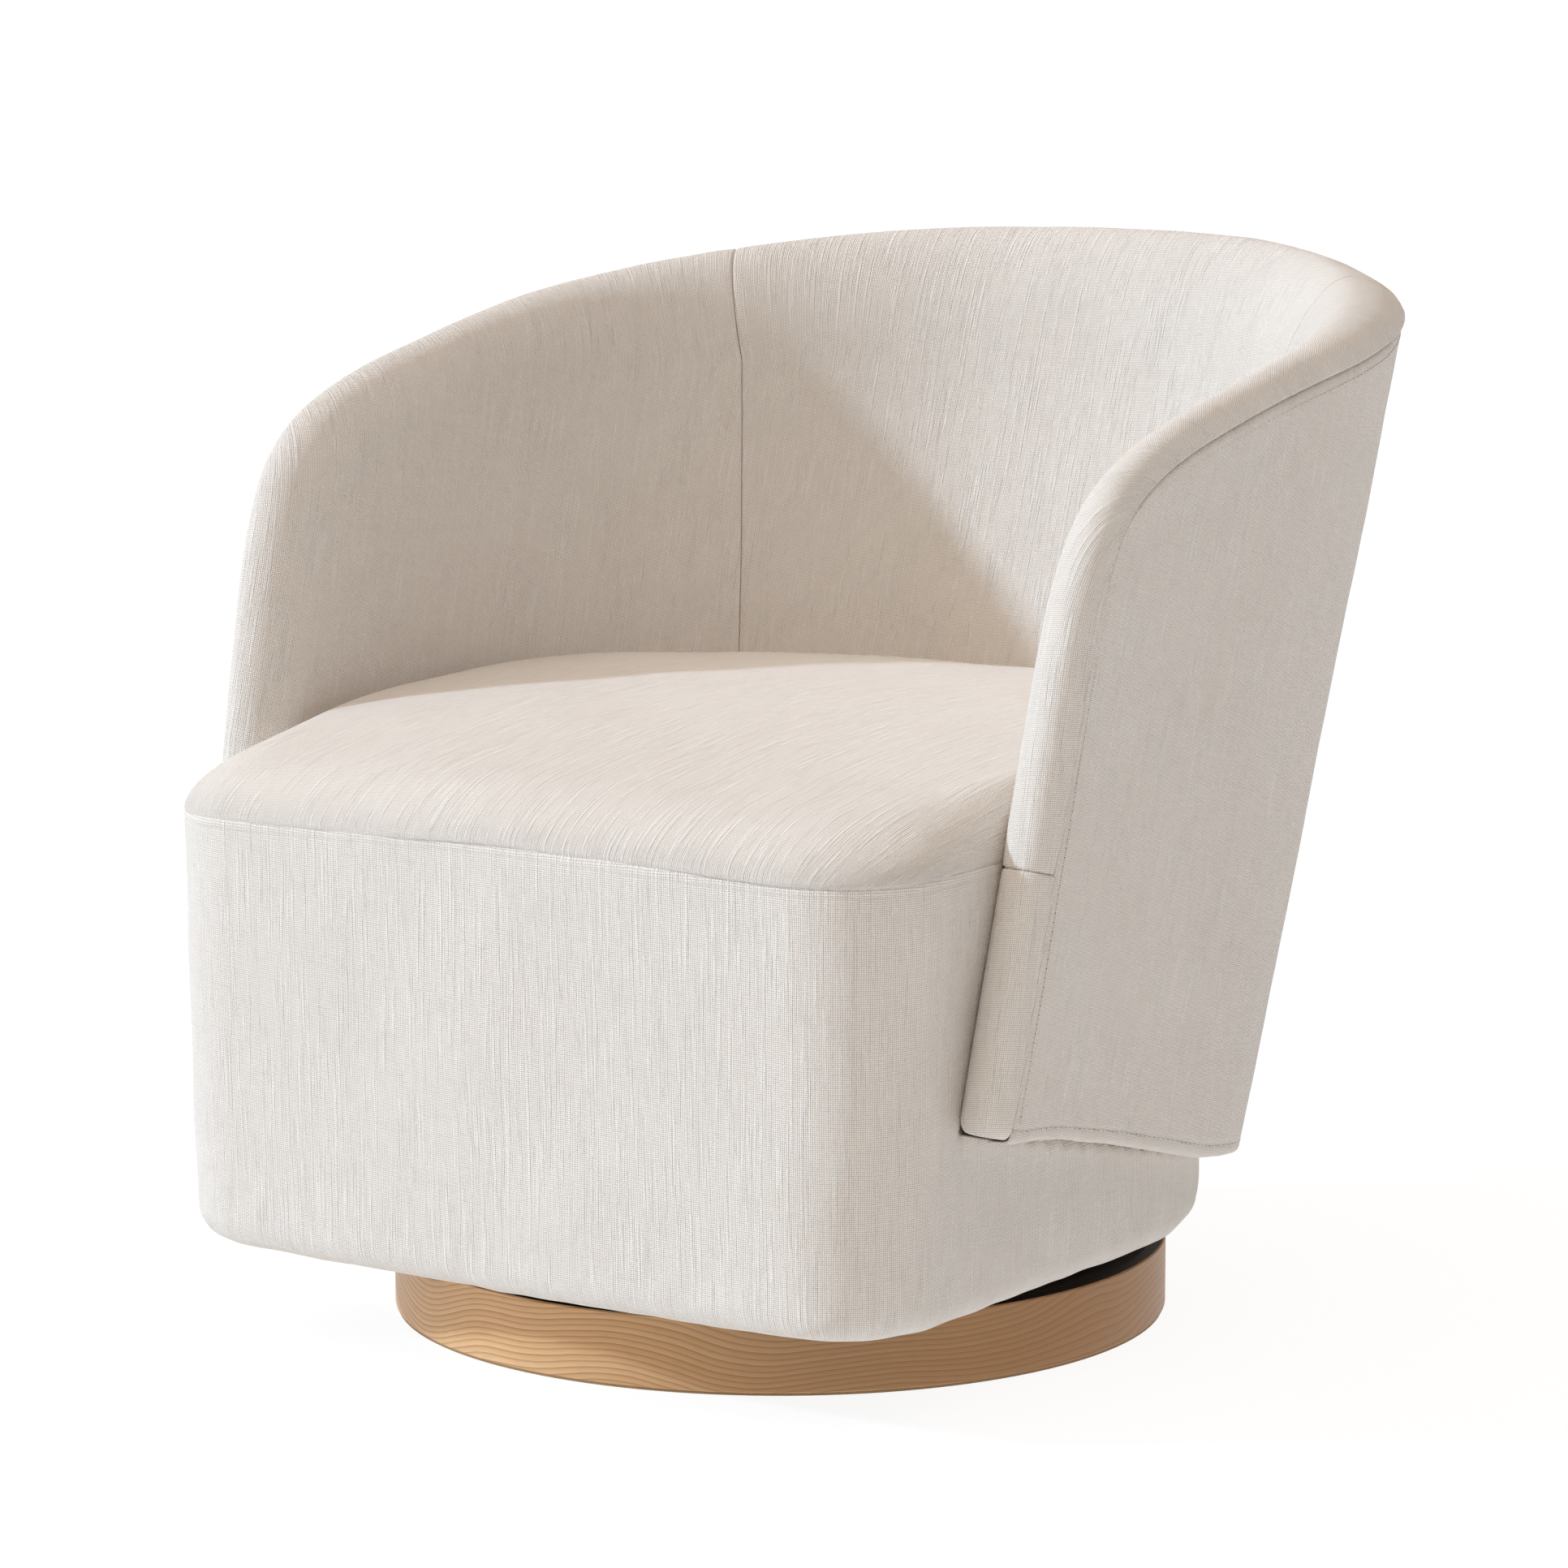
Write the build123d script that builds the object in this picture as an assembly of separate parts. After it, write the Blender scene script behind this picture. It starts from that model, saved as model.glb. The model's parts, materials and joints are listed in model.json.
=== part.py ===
from build123d import *
import os
from math import atan2, cos, degrees, hypot, pi, radians, sin, sqrt, tan

# Swivel barrel chair, millimetres, +Z up. The origin is the centre of the round plinth on the floor.
# The sitter faces -Y, and +X is on the right of someone who looks at the chair from the front.

# ---- Driving dimensions -------------------------------------------------------------------------
# Plinth: a bent wood ring round a dark deck, on a band of felt.
PLINTH_R = 290.0
PLINTH_WALL = 10.0
PLINTH_TOP = 55.0
PLINTH_EASE = 1.0
FELT_THICK = 2.0
FELT_MARGIN = 1.5
DECK_THICK = 15.0
DECK_HOLE_R = 22.0
BLOCK_COUNT = 8
BLOCK_WIDTH = 36.0
BLOCK_DEPTH = 22.0
BLOCK_EASE = 5.0

# Ball swivel: two pressed plates with facing ball tracks, and a pin that keeps them together.
PLATE_SIDE = 200.0
PLATE_CORNER_R = 14.0
PLATE_THICK = 3.0
SWIVEL_HEIGHT = 22.0
BALL_R = 5.0
BALL_SIDES = 10
BALL_LEVELS = (-72.0, -36.0, 0.0, 36.0, 72.0)
BALL_COUNT = 12
TRACK_R = 75.0
TRACK_CLEARANCE = 0.2
TRACK_FLOOR_HALF = 2.2
BEAD_HALF_WIDTH = 16.0
BEAD_SLOPE = 5.0
BEAD_HEIGHT = 4.5
BEAD_SHOULDER = 1.0
CAGE_HALF_WIDTH = 9.0
CAGE_THICK = 3.0
POCKET_CLEARANCE = 0.3
POCKET_SIDES = 8
PIN_R = 8.0
PIN_HEAD_R = 14.0
PIN_HEAD_THICK = 5.0
PIN_RUNNING_CLEARANCE = 0.05
PIN_ENDPLAY = 0.1
PIN_EASE = 1.0
THREAD_PAST_NUT = 2.0
WASHER_R = 17.0
WASHER_THICK = 2.0
NUT_ACROSS = 24.0
NUT_THICK = 9.0
SCREW_SPACING = 160.0
SCREW_R = 2.4
SCREW_HEAD_R = 4.8
SCREW_HEAD_THICK = 2.8
SCREW_LENGTH = 12.0
PLATE_BOLT_R = 3.0
PLATE_BOLT_ACROSS = 10.0
PLATE_BOLT_HEAD_THICK = 3.4
TEE_NUT_R = 9.5
TEE_NUT_THICK = 1.6
TEE_NUT_BARREL_R = 4.2
TEE_NUT_DEPTH = 9.0

# Seat box: a board and four rails inside a padded and covered border.
DRUM_BOTTOM = 75.0
SEAM_HEIGHT = 390.0
DRUM_HALF_WIDTH = 315.0
DRUM_FRONT = 342.0
DRUM_REAR = 267.0
DRUM_BOW = 13.0
DRUM_FRONT_R = 72.0
DRUM_REAR_R = 262.0
DRUM_FLARE = 1.3
DRUM_HEM_R = 18.0
COVER_THICK = 2.0
BOX_HALF_WIDTH = 294.0
BOX_FRONT = 330.0
BOX_REAR = 226.0
BOX_FRONT_R = 55.0
BOX_REAR_R = 246.0
BASE_BOARD_THICK = 15.0
BASE_BOARD_HOLE_R = 30.0
RAIL_THICK = 20.0
RAIL_TOP = 320.0
FRONT_RAIL_BACK = -270.0
REAR_RAIL_FRONT = 0.0
CORNER_BLOCK_LEG = 62.0
CORNER_BLOCK_TOP = 312.0
HEM_TURN = 38.0
DUST_COVER_THICK = 0.8
DUST_OPENING = 206.0
DUST_MARGIN = 1.0

# Seat webbing: straps woven over and under each other across the rails.
STRAP_WIDTH = 50.0
STRAP_THICK = 1.5
STRAP_PITCH = 76.0
STRAPS_LENGTHWISE = 5
STRAPS_CROSSWISE = 5
STRAP_LIFT = 1.9
STRAP_GAP = 0.3
STRAP_FIRST_Y = -214.0
STRAP_ON_RAIL = 14.0
STRAP_BEND = 4.0

# Seat cushion: a firm base layer and a crowned top layer that fills the space between the arms.
FOAM_BASE_BOTTOM = 324.4
CROWN_TOP = 464.0
CROWN_CENTRE_Y = 30.0
CROWN_LENGTHWISE_R = 1950.0
CROWN_CROSSWISE_R = 3910.0
CROWN_EDGE_R = 32.0
CUSHION_REAR = 420.0

# Barrel: a tub that flares upwards and leans back. Its outline is straight sides, two corner arcs
# and a flatter arc at the back. The lower edge lies in a plane that tilts less than the tub leans.
TUB_LEAN = 17.0
TUB_FLARE = 1.85
EDGE_LEAN = 12.5
EDGE_HEIGHT = 156.0
HALF_WIDTH = 357.0
CORNER_R = 293.0
BACK_R = 731.0
BACK_DEPTH = 295.0
OUTLINE_FRONT = -420.0
TUB_LOW = -60.0
TUB_HIGH = 760.0

# Side view of the arms and the top: a leaning front, a round corner and a long shallow top arc.
ARM_LEAN = 11.0
ARM_CORNER_R = 141.0
ARM_CORNER_Y = -61.6
ARM_CORNER_Z = 543.1
TOP_RISE = 13.0
TOP_ARC_R = 5000.0
TOP_ARC_SPAN = 8.5

# Layers of the barrel wall, each a distance inwards from the outer fabric.
WALL = 56.0
OUTER_COVER = (0.0, 4.0)
OUTER_BOARD = (4.2, 8.2)
FRAME = (8.5, 28.5)
INNER_BOARD = (28.8, 31.8)
INNER_PADDING = (32.0, 54.0)
SEAM_DEPTH = 37.0
FRAME_DEPTH = 37.6
TOP_RAIL_DEPTH = 24.0
BOTTOM_RAIL = (12.0, 36.0)
HEM_BAND = 10.0
UNDERSIDE_THICK = 2.0
BACK_SEAM_X = 286.0
BAND_SEAM_Z = 393.0
BAND_DEPTH = 44.0
LAYER_GAP = 0.3
POST_WIDTH = 44.0
POST_REACH = 200.0
SIDE_POST_Y = (-170.0, -28.0)
BACK_POST_ANGLES = (42.0, 64.0, 90.0, 116.0, 138.0)

# Bolts that hold the barrel to the seat box: one through each side post, below the seat.
BOLT_R = 4.0
BOLT_HEIGHTS = (245.0, 215.0)
BOLT_HEAD_R = 9.0
BOLT_HEAD_X = 339.0
BOLT_HEAD_THICK = 3.0
BOLT_NUT_ACROSS = 13.0
BOLT_NUT_THICK = 7.0
SPACER_R = 20.0
BOLT_HEAD_ROOM = 1.0

# ---- Worked out ---------------------------------------------------------------------------------
SWIVEL_TOP = PLINTH_TOP + SWIVEL_HEIGHT
BALL_Z = PLINTH_TOP + SWIVEL_HEIGHT / 2
BOX_BOTTOM = SWIVEL_TOP
RAIL_BOTTOM = BOX_BOTTOM + BASE_BOARD_THICK
FAR = 2000.0
# How far a cutting shape runs past what it cuts.
PAST = 1.0
# A flat that touches a round edge at its middle cuts off this share of the radius on either side.
ROUND_TO_FLAT = 2 - sqrt(2)

os.makedirs("parts", exist_ok=True)


def save(shape, node):
    """Writes one named sub-part, as one solid or a compound of separate solids."""
    solids = shape.solids()
    out = solids[0] if len(solids) == 1 else Compound(children=list(solids))
    export_step(out, f"parts/{node}.step")
    print(node, len(solids), round(sum(s.volume for s in solids)))


def joined(pieces):
    """Separate solids kept apart in one group."""
    return Compound(children=[s for piece in pieces for s in piece.solids()])


def upright(radius, low, high, x=0.0, y=0.0):
    """Vertical cylinder between two heights."""
    return Pos(x, y, low) * Cylinder(radius, high - low, align=(Align.CENTER, Align.CENTER, Align.MIN))


def slab(low, high):
    """Everything between two heights."""
    return Pos(0, 0, low) * Box(FAR, FAR, high - low, align=(Align.CENTER, Align.CENTER, Align.MIN))


def hexagon(across, low, high):
    """Upright hexagonal prism, such as a nut."""
    return extrude(Pos(0, 0, low) * RegularPolygon(across / 2, 6, major_radius=False), high - low)


def flared(outline, low, high, flare, level=0.0):
    """Prism whose sides lean out as they rise, true to its outline at one level."""
    prism = extrude(Pos(0, 0, low) * outline, high - low)
    sides = [face for face in prism.faces() if abs(face.normal_at().Z) < 0.5]
    return draft(sides, Plane.XY.offset(level), -flare)


def square_corners(spacing):
    """The four corners of a square centred on the swivel axis."""
    return [(x * spacing / 2, y * spacing / 2) for x in (-1, 1) for y in (-1, 1)]


# ---- Plinth -------------------------------------------------------------------------------------
def plinth_ring():
    ring = upright(PLINTH_R, FELT_THICK, PLINTH_TOP) - upright(PLINTH_R - PLINTH_WALL, 0, PLINTH_TOP + PAST)
    outer = ring.edges().filter_by(GeomType.CIRCLE).filter_by(lambda e: e.radius > PLINTH_R - PAST)
    return chamfer(outer, PLINTH_EASE)


def plinth_deck():
    deck = upright(PLINTH_R - PLINTH_WALL, PLINTH_TOP - DECK_THICK, PLINTH_TOP)
    deck -= upright(DECK_HOLE_R, 0, PLINTH_TOP + PAST)
    for x, y in square_corners(SCREW_SPACING):
        deck -= upright(SCREW_R, PLINTH_TOP - SCREW_LENGTH, PLINTH_TOP + PAST, x, y)
    return deck


def plinth_glue_blocks():
    inside = upright(PLINTH_R - PLINTH_WALL, 0, PLINTH_TOP)
    low, high = FELT_THICK, PLINTH_TOP - DECK_THICK
    centre = PLINTH_R - PLINTH_WALL - BLOCK_DEPTH / 2
    block = Pos(centre, 0, low) * Box(
        BLOCK_DEPTH, BLOCK_WIDTH, high - low, align=(Align.CENTER, Align.CENTER, Align.MIN)
    )
    block = chamfer(block.edges().filter_by(Axis.Z).group_by(Axis.X)[0], BLOCK_EASE)
    block = block & inside
    turn = 360 / BLOCK_COUNT
    return joined([Rot(0, 0, (i + 0.5) * turn) * block for i in range(BLOCK_COUNT)])


def floor_felt_ring():
    outer, inner = PLINTH_R - FELT_MARGIN, PLINTH_R - PLINTH_WALL + FELT_MARGIN
    return upright(outer, 0, FELT_THICK) - upright(inner, -PAST, FELT_THICK + PAST)


# ---- Ball swivel --------------------------------------------------------------------------------
def pressed_plate():
    """The lower plate: a flat square with a raised ring bead, and a ball groove along its top."""
    groove_r = BALL_R + TRACK_CLEARANCE
    flat, bead = PLINTH_TOP, PLINTH_TOP + BEAD_HEIGHT
    top, inner, outer = bead + PLATE_THICK, TRACK_R - BEAD_HALF_WIDTH, TRACK_R + BEAD_HALF_WIDTH
    mouth = sqrt(groove_r**2 - (BALL_Z - top) ** 2)
    floor = BALL_Z - groove_r
    wider = TRACK_FLOOR_HALF + PLATE_THICK / 2
    section = Polyline(
        (inner - BEAD_SLOPE, flat),
        (inner, bead),
        (TRACK_R - mouth - PLATE_THICK / 2, bead),
        (TRACK_R - wider, floor - PLATE_THICK),
        (TRACK_R + wider, floor - PLATE_THICK),
        (TRACK_R + mouth + PLATE_THICK / 2, bead),
        (outer, bead),
        (outer + BEAD_SLOPE, flat),
        (outer + BEAD_SLOPE, flat + PLATE_THICK),
        (outer + BEAD_SHOULDER, top),
        (TRACK_R + mouth, top),
        (TRACK_R + TRACK_FLOOR_HALF, floor),
        (TRACK_R - TRACK_FLOOR_HALF, floor),
        (TRACK_R - mouth, top),
        (inner - BEAD_SHOULDER, top),
        (inner - BEAD_SLOPE, flat + PLATE_THICK),
        (inner - BEAD_SLOPE, flat),
    )
    ring = revolve(Plane.XZ * make_face(section), Axis.Z)
    sheet = extrude(Pos(0, 0, flat) * RectangleRounded(PLATE_SIDE, PLATE_SIDE, PLATE_CORNER_R), PLATE_THICK)
    sheet -= upright(outer + BEAD_SLOPE, 0, BALL_Z) - upright(inner - BEAD_SLOPE, 0, BALL_Z)
    return sheet + ring


def swivel_lower_plate():
    plate = pressed_plate() - upright(PIN_R, 0, BALL_Z)
    for x, y in square_corners(SCREW_SPACING):
        plate -= upright(SCREW_R, 0, BALL_Z, x, y)
    return plate


def swivel_upper_plate():
    plate = Pos(0, 0, 2 * BALL_Z) * Rot(180, 0, 0) * pressed_plate()
    plate -= upright(PIN_R + PIN_RUNNING_CLEARANCE, BALL_Z, SWIVEL_TOP + PAST)
    for x, y in square_corners(SCREW_SPACING):
        plate -= upright(PLATE_BOLT_R, BALL_Z, SWIVEL_TOP + PAST, x, y)
    return plate


def swivel_screws():
    """Pan-head screws from the lower plate into the deck."""
    head_low = PLINTH_TOP + PLATE_THICK
    screws = []
    for x, y in square_corners(SCREW_SPACING):
        head = upright(SCREW_HEAD_R, head_low, head_low + SCREW_HEAD_THICK, x, y)
        screws.append(upright(SCREW_R, PLINTH_TOP - SCREW_LENGTH, head_low, x, y) + head)
    return joined(screws)


def swivel_kingpin():
    """Headed pin: the head sits in the deck's hole, under the lower plate."""
    top = SWIVEL_TOP + PIN_ENDPLAY + WASHER_THICK + NUT_THICK + THREAD_PAST_NUT
    pin = upright(PIN_R, PLINTH_TOP, top) + upright(PIN_HEAD_R, PLINTH_TOP - PIN_HEAD_THICK, PLINTH_TOP)
    return chamfer(pin.edges().group_by(Axis.Z)[-1], PIN_EASE)


def swivel_pin_washer():
    low = SWIVEL_TOP + PIN_ENDPLAY
    return upright(WASHER_R, low, low + WASHER_THICK) - upright(PIN_R, low - PAST, low + WASHER_THICK + PAST)


def swivel_pin_nut():
    low = SWIVEL_TOP + PIN_ENDPLAY + WASHER_THICK
    return hexagon(NUT_ACROSS, low, low + NUT_THICK) - upright(PIN_R, low - PAST, low + NUT_THICK + PAST)


def ball_places():
    return [
        (TRACK_R * cos(2 * pi * i / BALL_COUNT), TRACK_R * sin(2 * pi * i / BALL_COUNT))
        for i in range(BALL_COUNT)
    ]


def bearing_balls():
    """Balls with a few flats, built up in rings at even turns from pole to pole."""
    ball = None
    for start, stop in zip(BALL_LEVELS, BALL_LEVELS[1:]):
        low, high = BALL_R * sin(radians(start)), BALL_R * sin(radians(stop))
        wide, narrow = BALL_R * cos(radians(start)), BALL_R * cos(radians(stop))
        lean_out = degrees(atan2((narrow - wide) * cos(pi / BALL_SIDES), high - low))
        ring = flared(RegularPolygon(wide, BALL_SIDES), low, high, lean_out, low)
        ball = ring if ball is None else ball + ring
    return joined([Pos(x, y, BALL_Z) * ball for x, y in ball_places()])


def ball_cage():
    low, high = BALL_Z - CAGE_THICK / 2, BALL_Z + CAGE_THICK / 2
    cage = upright(TRACK_R + CAGE_HALF_WIDTH, low, high) - upright(TRACK_R - CAGE_HALF_WIDTH, 0, SWIVEL_TOP)
    pocket = RegularPolygon(BALL_R + POCKET_CLEARANCE, POCKET_SIDES, major_radius=False)
    for x, y in ball_places():
        cage -= extrude(Pos(x, y, low) * pocket, CAGE_THICK)
    return cage


def swivel_upper_bolts():
    """Bolts from under the upper plate, through the base board, into tee nuts."""
    head_top = SWIVEL_TOP - PLATE_THICK
    bolts = []
    for x, y in square_corners(SCREW_SPACING):
        head = Pos(x, y, 0) * hexagon(PLATE_BOLT_ACROSS, head_top - PLATE_BOLT_HEAD_THICK, head_top)
        bolts.append(head + upright(PLATE_BOLT_R, head_top, RAIL_BOTTOM + TEE_NUT_THICK, x, y))
    return joined(bolts)


def swivel_tee_nuts():
    nuts = []
    for x, y in square_corners(SCREW_SPACING):
        flange = upright(TEE_NUT_R, RAIL_BOTTOM, RAIL_BOTTOM + TEE_NUT_THICK, x, y)
        barrel = upright(TEE_NUT_BARREL_R, RAIL_BOTTOM - TEE_NUT_DEPTH, RAIL_BOTTOM, x, y)
        nuts.append(flange + barrel - upright(PLATE_BOLT_R, BOX_BOTTOM, RAIL_TOP, x, y))
    return joined(nuts)


# ---- Seat box -----------------------------------------------------------------------------------
def box_outline(inset=0.0):
    """Seat box seen from above: square at the front, round at the rear to follow the barrel."""
    half, front, rear = BOX_HALF_WIDTH - inset, -BOX_FRONT + inset, BOX_REAR - inset
    shape = Pos(0, (front + rear) / 2) * Rectangle(2 * half, rear - front)
    shape = fillet(shape.vertices().group_by(Axis.Y)[0], BOX_FRONT_R - inset)
    return fillet(shape.vertices().group_by(Axis.Y)[-1], BOX_REAR_R - inset)


def box_column(low, high, inset=0.0):
    return extrude(Pos(0, 0, low) * box_outline(inset), high - low)


def drum_outline(inset, rear):
    """Outer border seen from above: a bowed front, rounded corners and a round rear."""
    half, front, back = DRUM_HALF_WIDTH - inset, -DRUM_FRONT + inset, rear - inset
    edge = Polyline((half, front), (half, back), (-half, back), (-half, front)) + ThreePointArc(
        (-half, front), (0, front - DRUM_BOW), (half, front)
    )
    shape = make_face(edge)
    shape = fillet(shape.vertices().group_by(Axis.Y)[0], DRUM_FRONT_R - inset)
    return fillet(shape.vertices().group_by(Axis.Y)[-1], DRUM_REAR_R - inset)


def drum(inset):
    """The whole padded box, flaring a little upwards, with a rounded lower edge."""
    low = DRUM_BOTTOM + inset
    shape = flared(drum_outline(inset, DRUM_REAR), low, SEAM_HEIGHT, DRUM_FLARE, low)
    return chamfer(shape.edges().group_by(Axis.Z)[0], (DRUM_HEM_R - inset) * ROUND_TO_FLAT)


def seat_base_board():
    board = box_column(BOX_BOTTOM, RAIL_BOTTOM) - upright(BASE_BOARD_HOLE_R, 0, RAIL_TOP)
    for x, y in square_corners(SCREW_SPACING):
        board -= upright(TEE_NUT_BARREL_R, RAIL_BOTTOM - TEE_NUT_DEPTH, RAIL_TOP, x, y)
        board -= upright(PLATE_BOLT_R, 0, RAIL_BOTTOM, x, y)
    return board


def side_bolt_axes():
    """Where the barrel's bolts run, along X: (y, z) for each side post."""
    return list(zip(SIDE_POST_Y, BOLT_HEIGHTS))


def bolt_hole(y, z, radius=BOLT_R):
    return Pos(0, y, z) * Rot(0, 90, 0) * Cylinder(radius, FAR)


def rail_ring():
    ring = box_column(RAIL_BOTTOM, RAIL_TOP) - box_column(0, RAIL_TOP + PAST, RAIL_THICK)
    for y, z in side_bolt_axes():
        ring -= bolt_hole(y, z)
    return ring


def between_y(low, high):
    return Pos(0, low, 0) * Box(FAR, high - low, FAR, align=(Align.CENTER, Align.MIN, Align.CENTER))


def side(sign):
    """Everything on one side of the middle plane."""
    return Box(FAR, 2 * FAR, FAR, align=(Align.MIN if sign > 0 else Align.MAX, Align.CENTER, Align.CENTER))


def seat_corner_blocks():
    """Three-cornered blocks glued inside the corners, on the base board."""
    blocks = []
    inner_x = BOX_HALF_WIDTH - RAIL_THICK
    inner_y = BOX_FRONT - RAIL_THICK
    inside = box_column(RAIL_BOTTOM, CORNER_BLOCK_TOP, RAIL_THICK)
    for sign in (-1, 1):
        x, y = sign * inner_x, -inner_y
        triangle = make_face(
            Polyline((x, y), (x - sign * CORNER_BLOCK_LEG, y), (x, y + CORNER_BLOCK_LEG), (x, y))
        )
        blocks.append(extrude(Pos(0, 0, RAIL_BOTTOM) * triangle, CORNER_BLOCK_TOP - RAIL_BOTTOM) & inside)
    return joined(blocks)


def strap(length_low, length_high, crossings, first_is_high):
    """Side view of one woven strap: level where it crosses another, sloping in between."""
    low, high = RAIL_TOP + STRAP_GAP, RAIL_TOP + STRAP_GAP + STRAP_LIFT
    reach = STRAP_WIDTH / 2 + STRAP_BEND
    line = [(length_low, low)]
    for i, place in enumerate(crossings):
        level = high if (i % 2 == 0) == first_is_high else low
        line += [(place - reach, level), (place + reach, level)]
    line.append((length_high, low))
    upper = [(u, v + STRAP_THICK) for u, v in reversed(line)]
    return make_face(Polyline(*line, *upper, line[0]))


def webbing(lengthwise):
    """Straps one way. The other way's straps pass over where these pass under."""
    xs = [(i - (STRAPS_LENGTHWISE - 1) / 2) * STRAP_PITCH for i in range(STRAPS_LENGTHWISE)]
    ys = [STRAP_FIRST_Y + i * STRAP_PITCH for i in range(STRAPS_CROSSWISE)]
    straps = []
    for i, place in enumerate(xs if lengthwise else ys):
        if lengthwise:
            reach = rear_edge(place) - STRAP_ON_RAIL / 2
            profile = strap(-BOX_FRONT + STRAP_ON_RAIL / 2, reach, ys, i % 2 == 0)
            straps.append(Pos(place, 0, 0) * extrude(Plane.YZ * profile, STRAP_WIDTH / 2, both=True))
        else:
            reach = side_edge(place) - STRAP_ON_RAIL / 2
            profile = strap(-reach, reach, xs, i % 2 == 1)
            straps.append(Pos(0, place, 0) * extrude(Plane.XZ * profile, STRAP_WIDTH / 2, both=True))
    return joined(straps)


def rear_edge(x):
    """Where the round rear of the seat box lies at one x, for a strap's far corner."""
    past = max(abs(x) + STRAP_WIDTH / 2 - (BOX_HALF_WIDTH - BOX_REAR_R), 0.0)
    return BOX_REAR - BOX_REAR_R + sqrt(BOX_REAR_R**2 - past**2)


def side_edge(y):
    """Half-width of the seat box at one y, for a strap's far corner."""
    past = max(y + STRAP_WIDTH / 2 - (BOX_REAR - BOX_REAR_R), 0.0)
    return BOX_HALF_WIDTH - BOX_REAR_R + sqrt(BOX_REAR_R**2 - past**2)


def dust_cover():
    low = BOX_BOTTOM - DUST_COVER_THICK
    opening = extrude(RectangleRounded(DUST_OPENING, DUST_OPENING, PLATE_CORNER_R), RAIL_BOTTOM)
    return box_column(low, BOX_BOTTOM, HEM_TURN + DUST_MARGIN) - opening


# ---- Barrel -------------------------------------------------------------------------------------
def tub_outline(inset):
    """The tub's outline: straight sides, corner arcs and a flatter back arc."""
    half, corner, back, depth = (size - inset for size in (HALF_WIDTH, CORNER_R, BACK_R, BACK_DEPTH))
    back_y = depth - back
    corner_x = half - corner
    corner_y = back_y + sqrt((back - corner) ** 2 - corner_x**2)
    turn = atan2(corner_y - back_y, corner_x)
    middle = (corner_x + corner * cos(turn / 2), corner_y + corner * sin(turn / 2))
    join = (corner_x + corner * cos(turn), corner_y + corner * sin(turn))
    outline = Wire(
        [
            Line((half, OUTLINE_FRONT), (half, corner_y)),
            ThreePointArc((half, corner_y), middle, join),
            ThreePointArc(join, (0, depth), (-join[0], join[1])),
            ThreePointArc((-join[0], join[1]), (-middle[0], middle[1]), (-half, corner_y)),
            Line((-half, corner_y), (-half, OUTLINE_FRONT)),
            Line((-half, OUTLINE_FRONT), (half, OUTLINE_FRONT)),
        ]
    )
    return Face(outline)


def lean(shape, angle=TUB_LEAN):
    """From an upright frame whose floor is the middle of the lower edge into the chair's."""
    return Pos(0, 0, EDGE_HEIGHT) * Rot(-angle, 0, 0) * shape


def tub(inset):
    """Everything inside the tub's outline, drawn in by a distance."""
    return lean(flared(tub_outline(inset), TUB_LOW, TUB_HIGH, TUB_FLARE))


def side_prism(depth):
    """Everything under the side view's line, a distance inside it, right across the chair."""
    tilt, rise, corner = radians(ARM_LEAN), radians(TOP_RISE), ARM_CORNER_R - depth
    bisector = hypot(sin(rise) + cos(tilt), cos(rise) + sin(tilt))
    front = (ARM_CORNER_Y - corner * cos(tilt), ARM_CORNER_Z + corner * sin(tilt))
    middle = (
        ARM_CORNER_Y - corner * (sin(rise) + cos(tilt)) / bisector,
        ARM_CORNER_Z + corner * (cos(rise) + sin(tilt)) / bisector,
    )
    top = (ARM_CORNER_Y - corner * sin(rise), ARM_CORNER_Z + corner * cos(rise))
    foot = (front[0] - FAR / 3 * sin(tilt), front[1] - FAR / 3 * cos(tilt))
    arc_r = TOP_ARC_R - depth
    centre = (top[0] + arc_r * sin(rise), top[1] - arc_r * cos(rise))

    def on_top(turn):
        return (centre[0] - arc_r * sin(rise - turn), centre[1] + arc_r * cos(rise - turn))

    end = on_top(radians(TOP_ARC_SPAN))
    line = (
        Line(foot, front)
        + ThreePointArc(front, middle, top)
        + ThreePointArc(top, on_top(radians(TOP_ARC_SPAN / 2)), end)
        + Polyline(end, (end[0], foot[1]), foot)
    )
    return extrude(Plane.YZ * make_face(line), FAR / 4, both=True)


def above_edge(height):
    """Everything over a plane that is parallel to the tub's lower edge and some way above it."""
    above = Box(FAR, FAR, FAR, align=(Align.CENTER, Align.CENTER, Align.MIN))
    return lean(Pos(0, 0, height) * above, EDGE_LEAN)


def layer(span, depth, height):
    """One layer of the barrel wall, under the side view's line and over the lower edge."""
    shape = tub(span[0]) - tub(span[1])
    return shape & side_prism(depth) & above_edge(height)


def on_side_line(edge, depth):
    """Whether an edge runs along the side view's line, and not across the wall."""
    tilt, rise, corner = radians(ARM_LEAN), radians(TOP_RISE), ARM_CORNER_R - depth
    arc_r = TOP_ARC_R - depth
    centre_y = ARM_CORNER_Y - corner * sin(rise) + arc_r * sin(rise)
    centre_z = ARM_CORNER_Z + corner * cos(rise) - arc_r * cos(rise)

    def off(point):
        y, z = point.Y - ARM_CORNER_Y, point.Z - ARM_CORNER_Z
        front = abs(-y * cos(tilt) + z * sin(tilt) - corner)
        round_corner = abs(hypot(y, z) - corner)
        top = abs(hypot(point.Y - centre_y, point.Z - centre_z) - arc_r)
        return min(front, round_corner, top)

    return edge.geom_type != GeomType.LINE and max(off(edge.position_at(t)) for t in (0.1, 0.5, 0.9)) < 0.5


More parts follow.
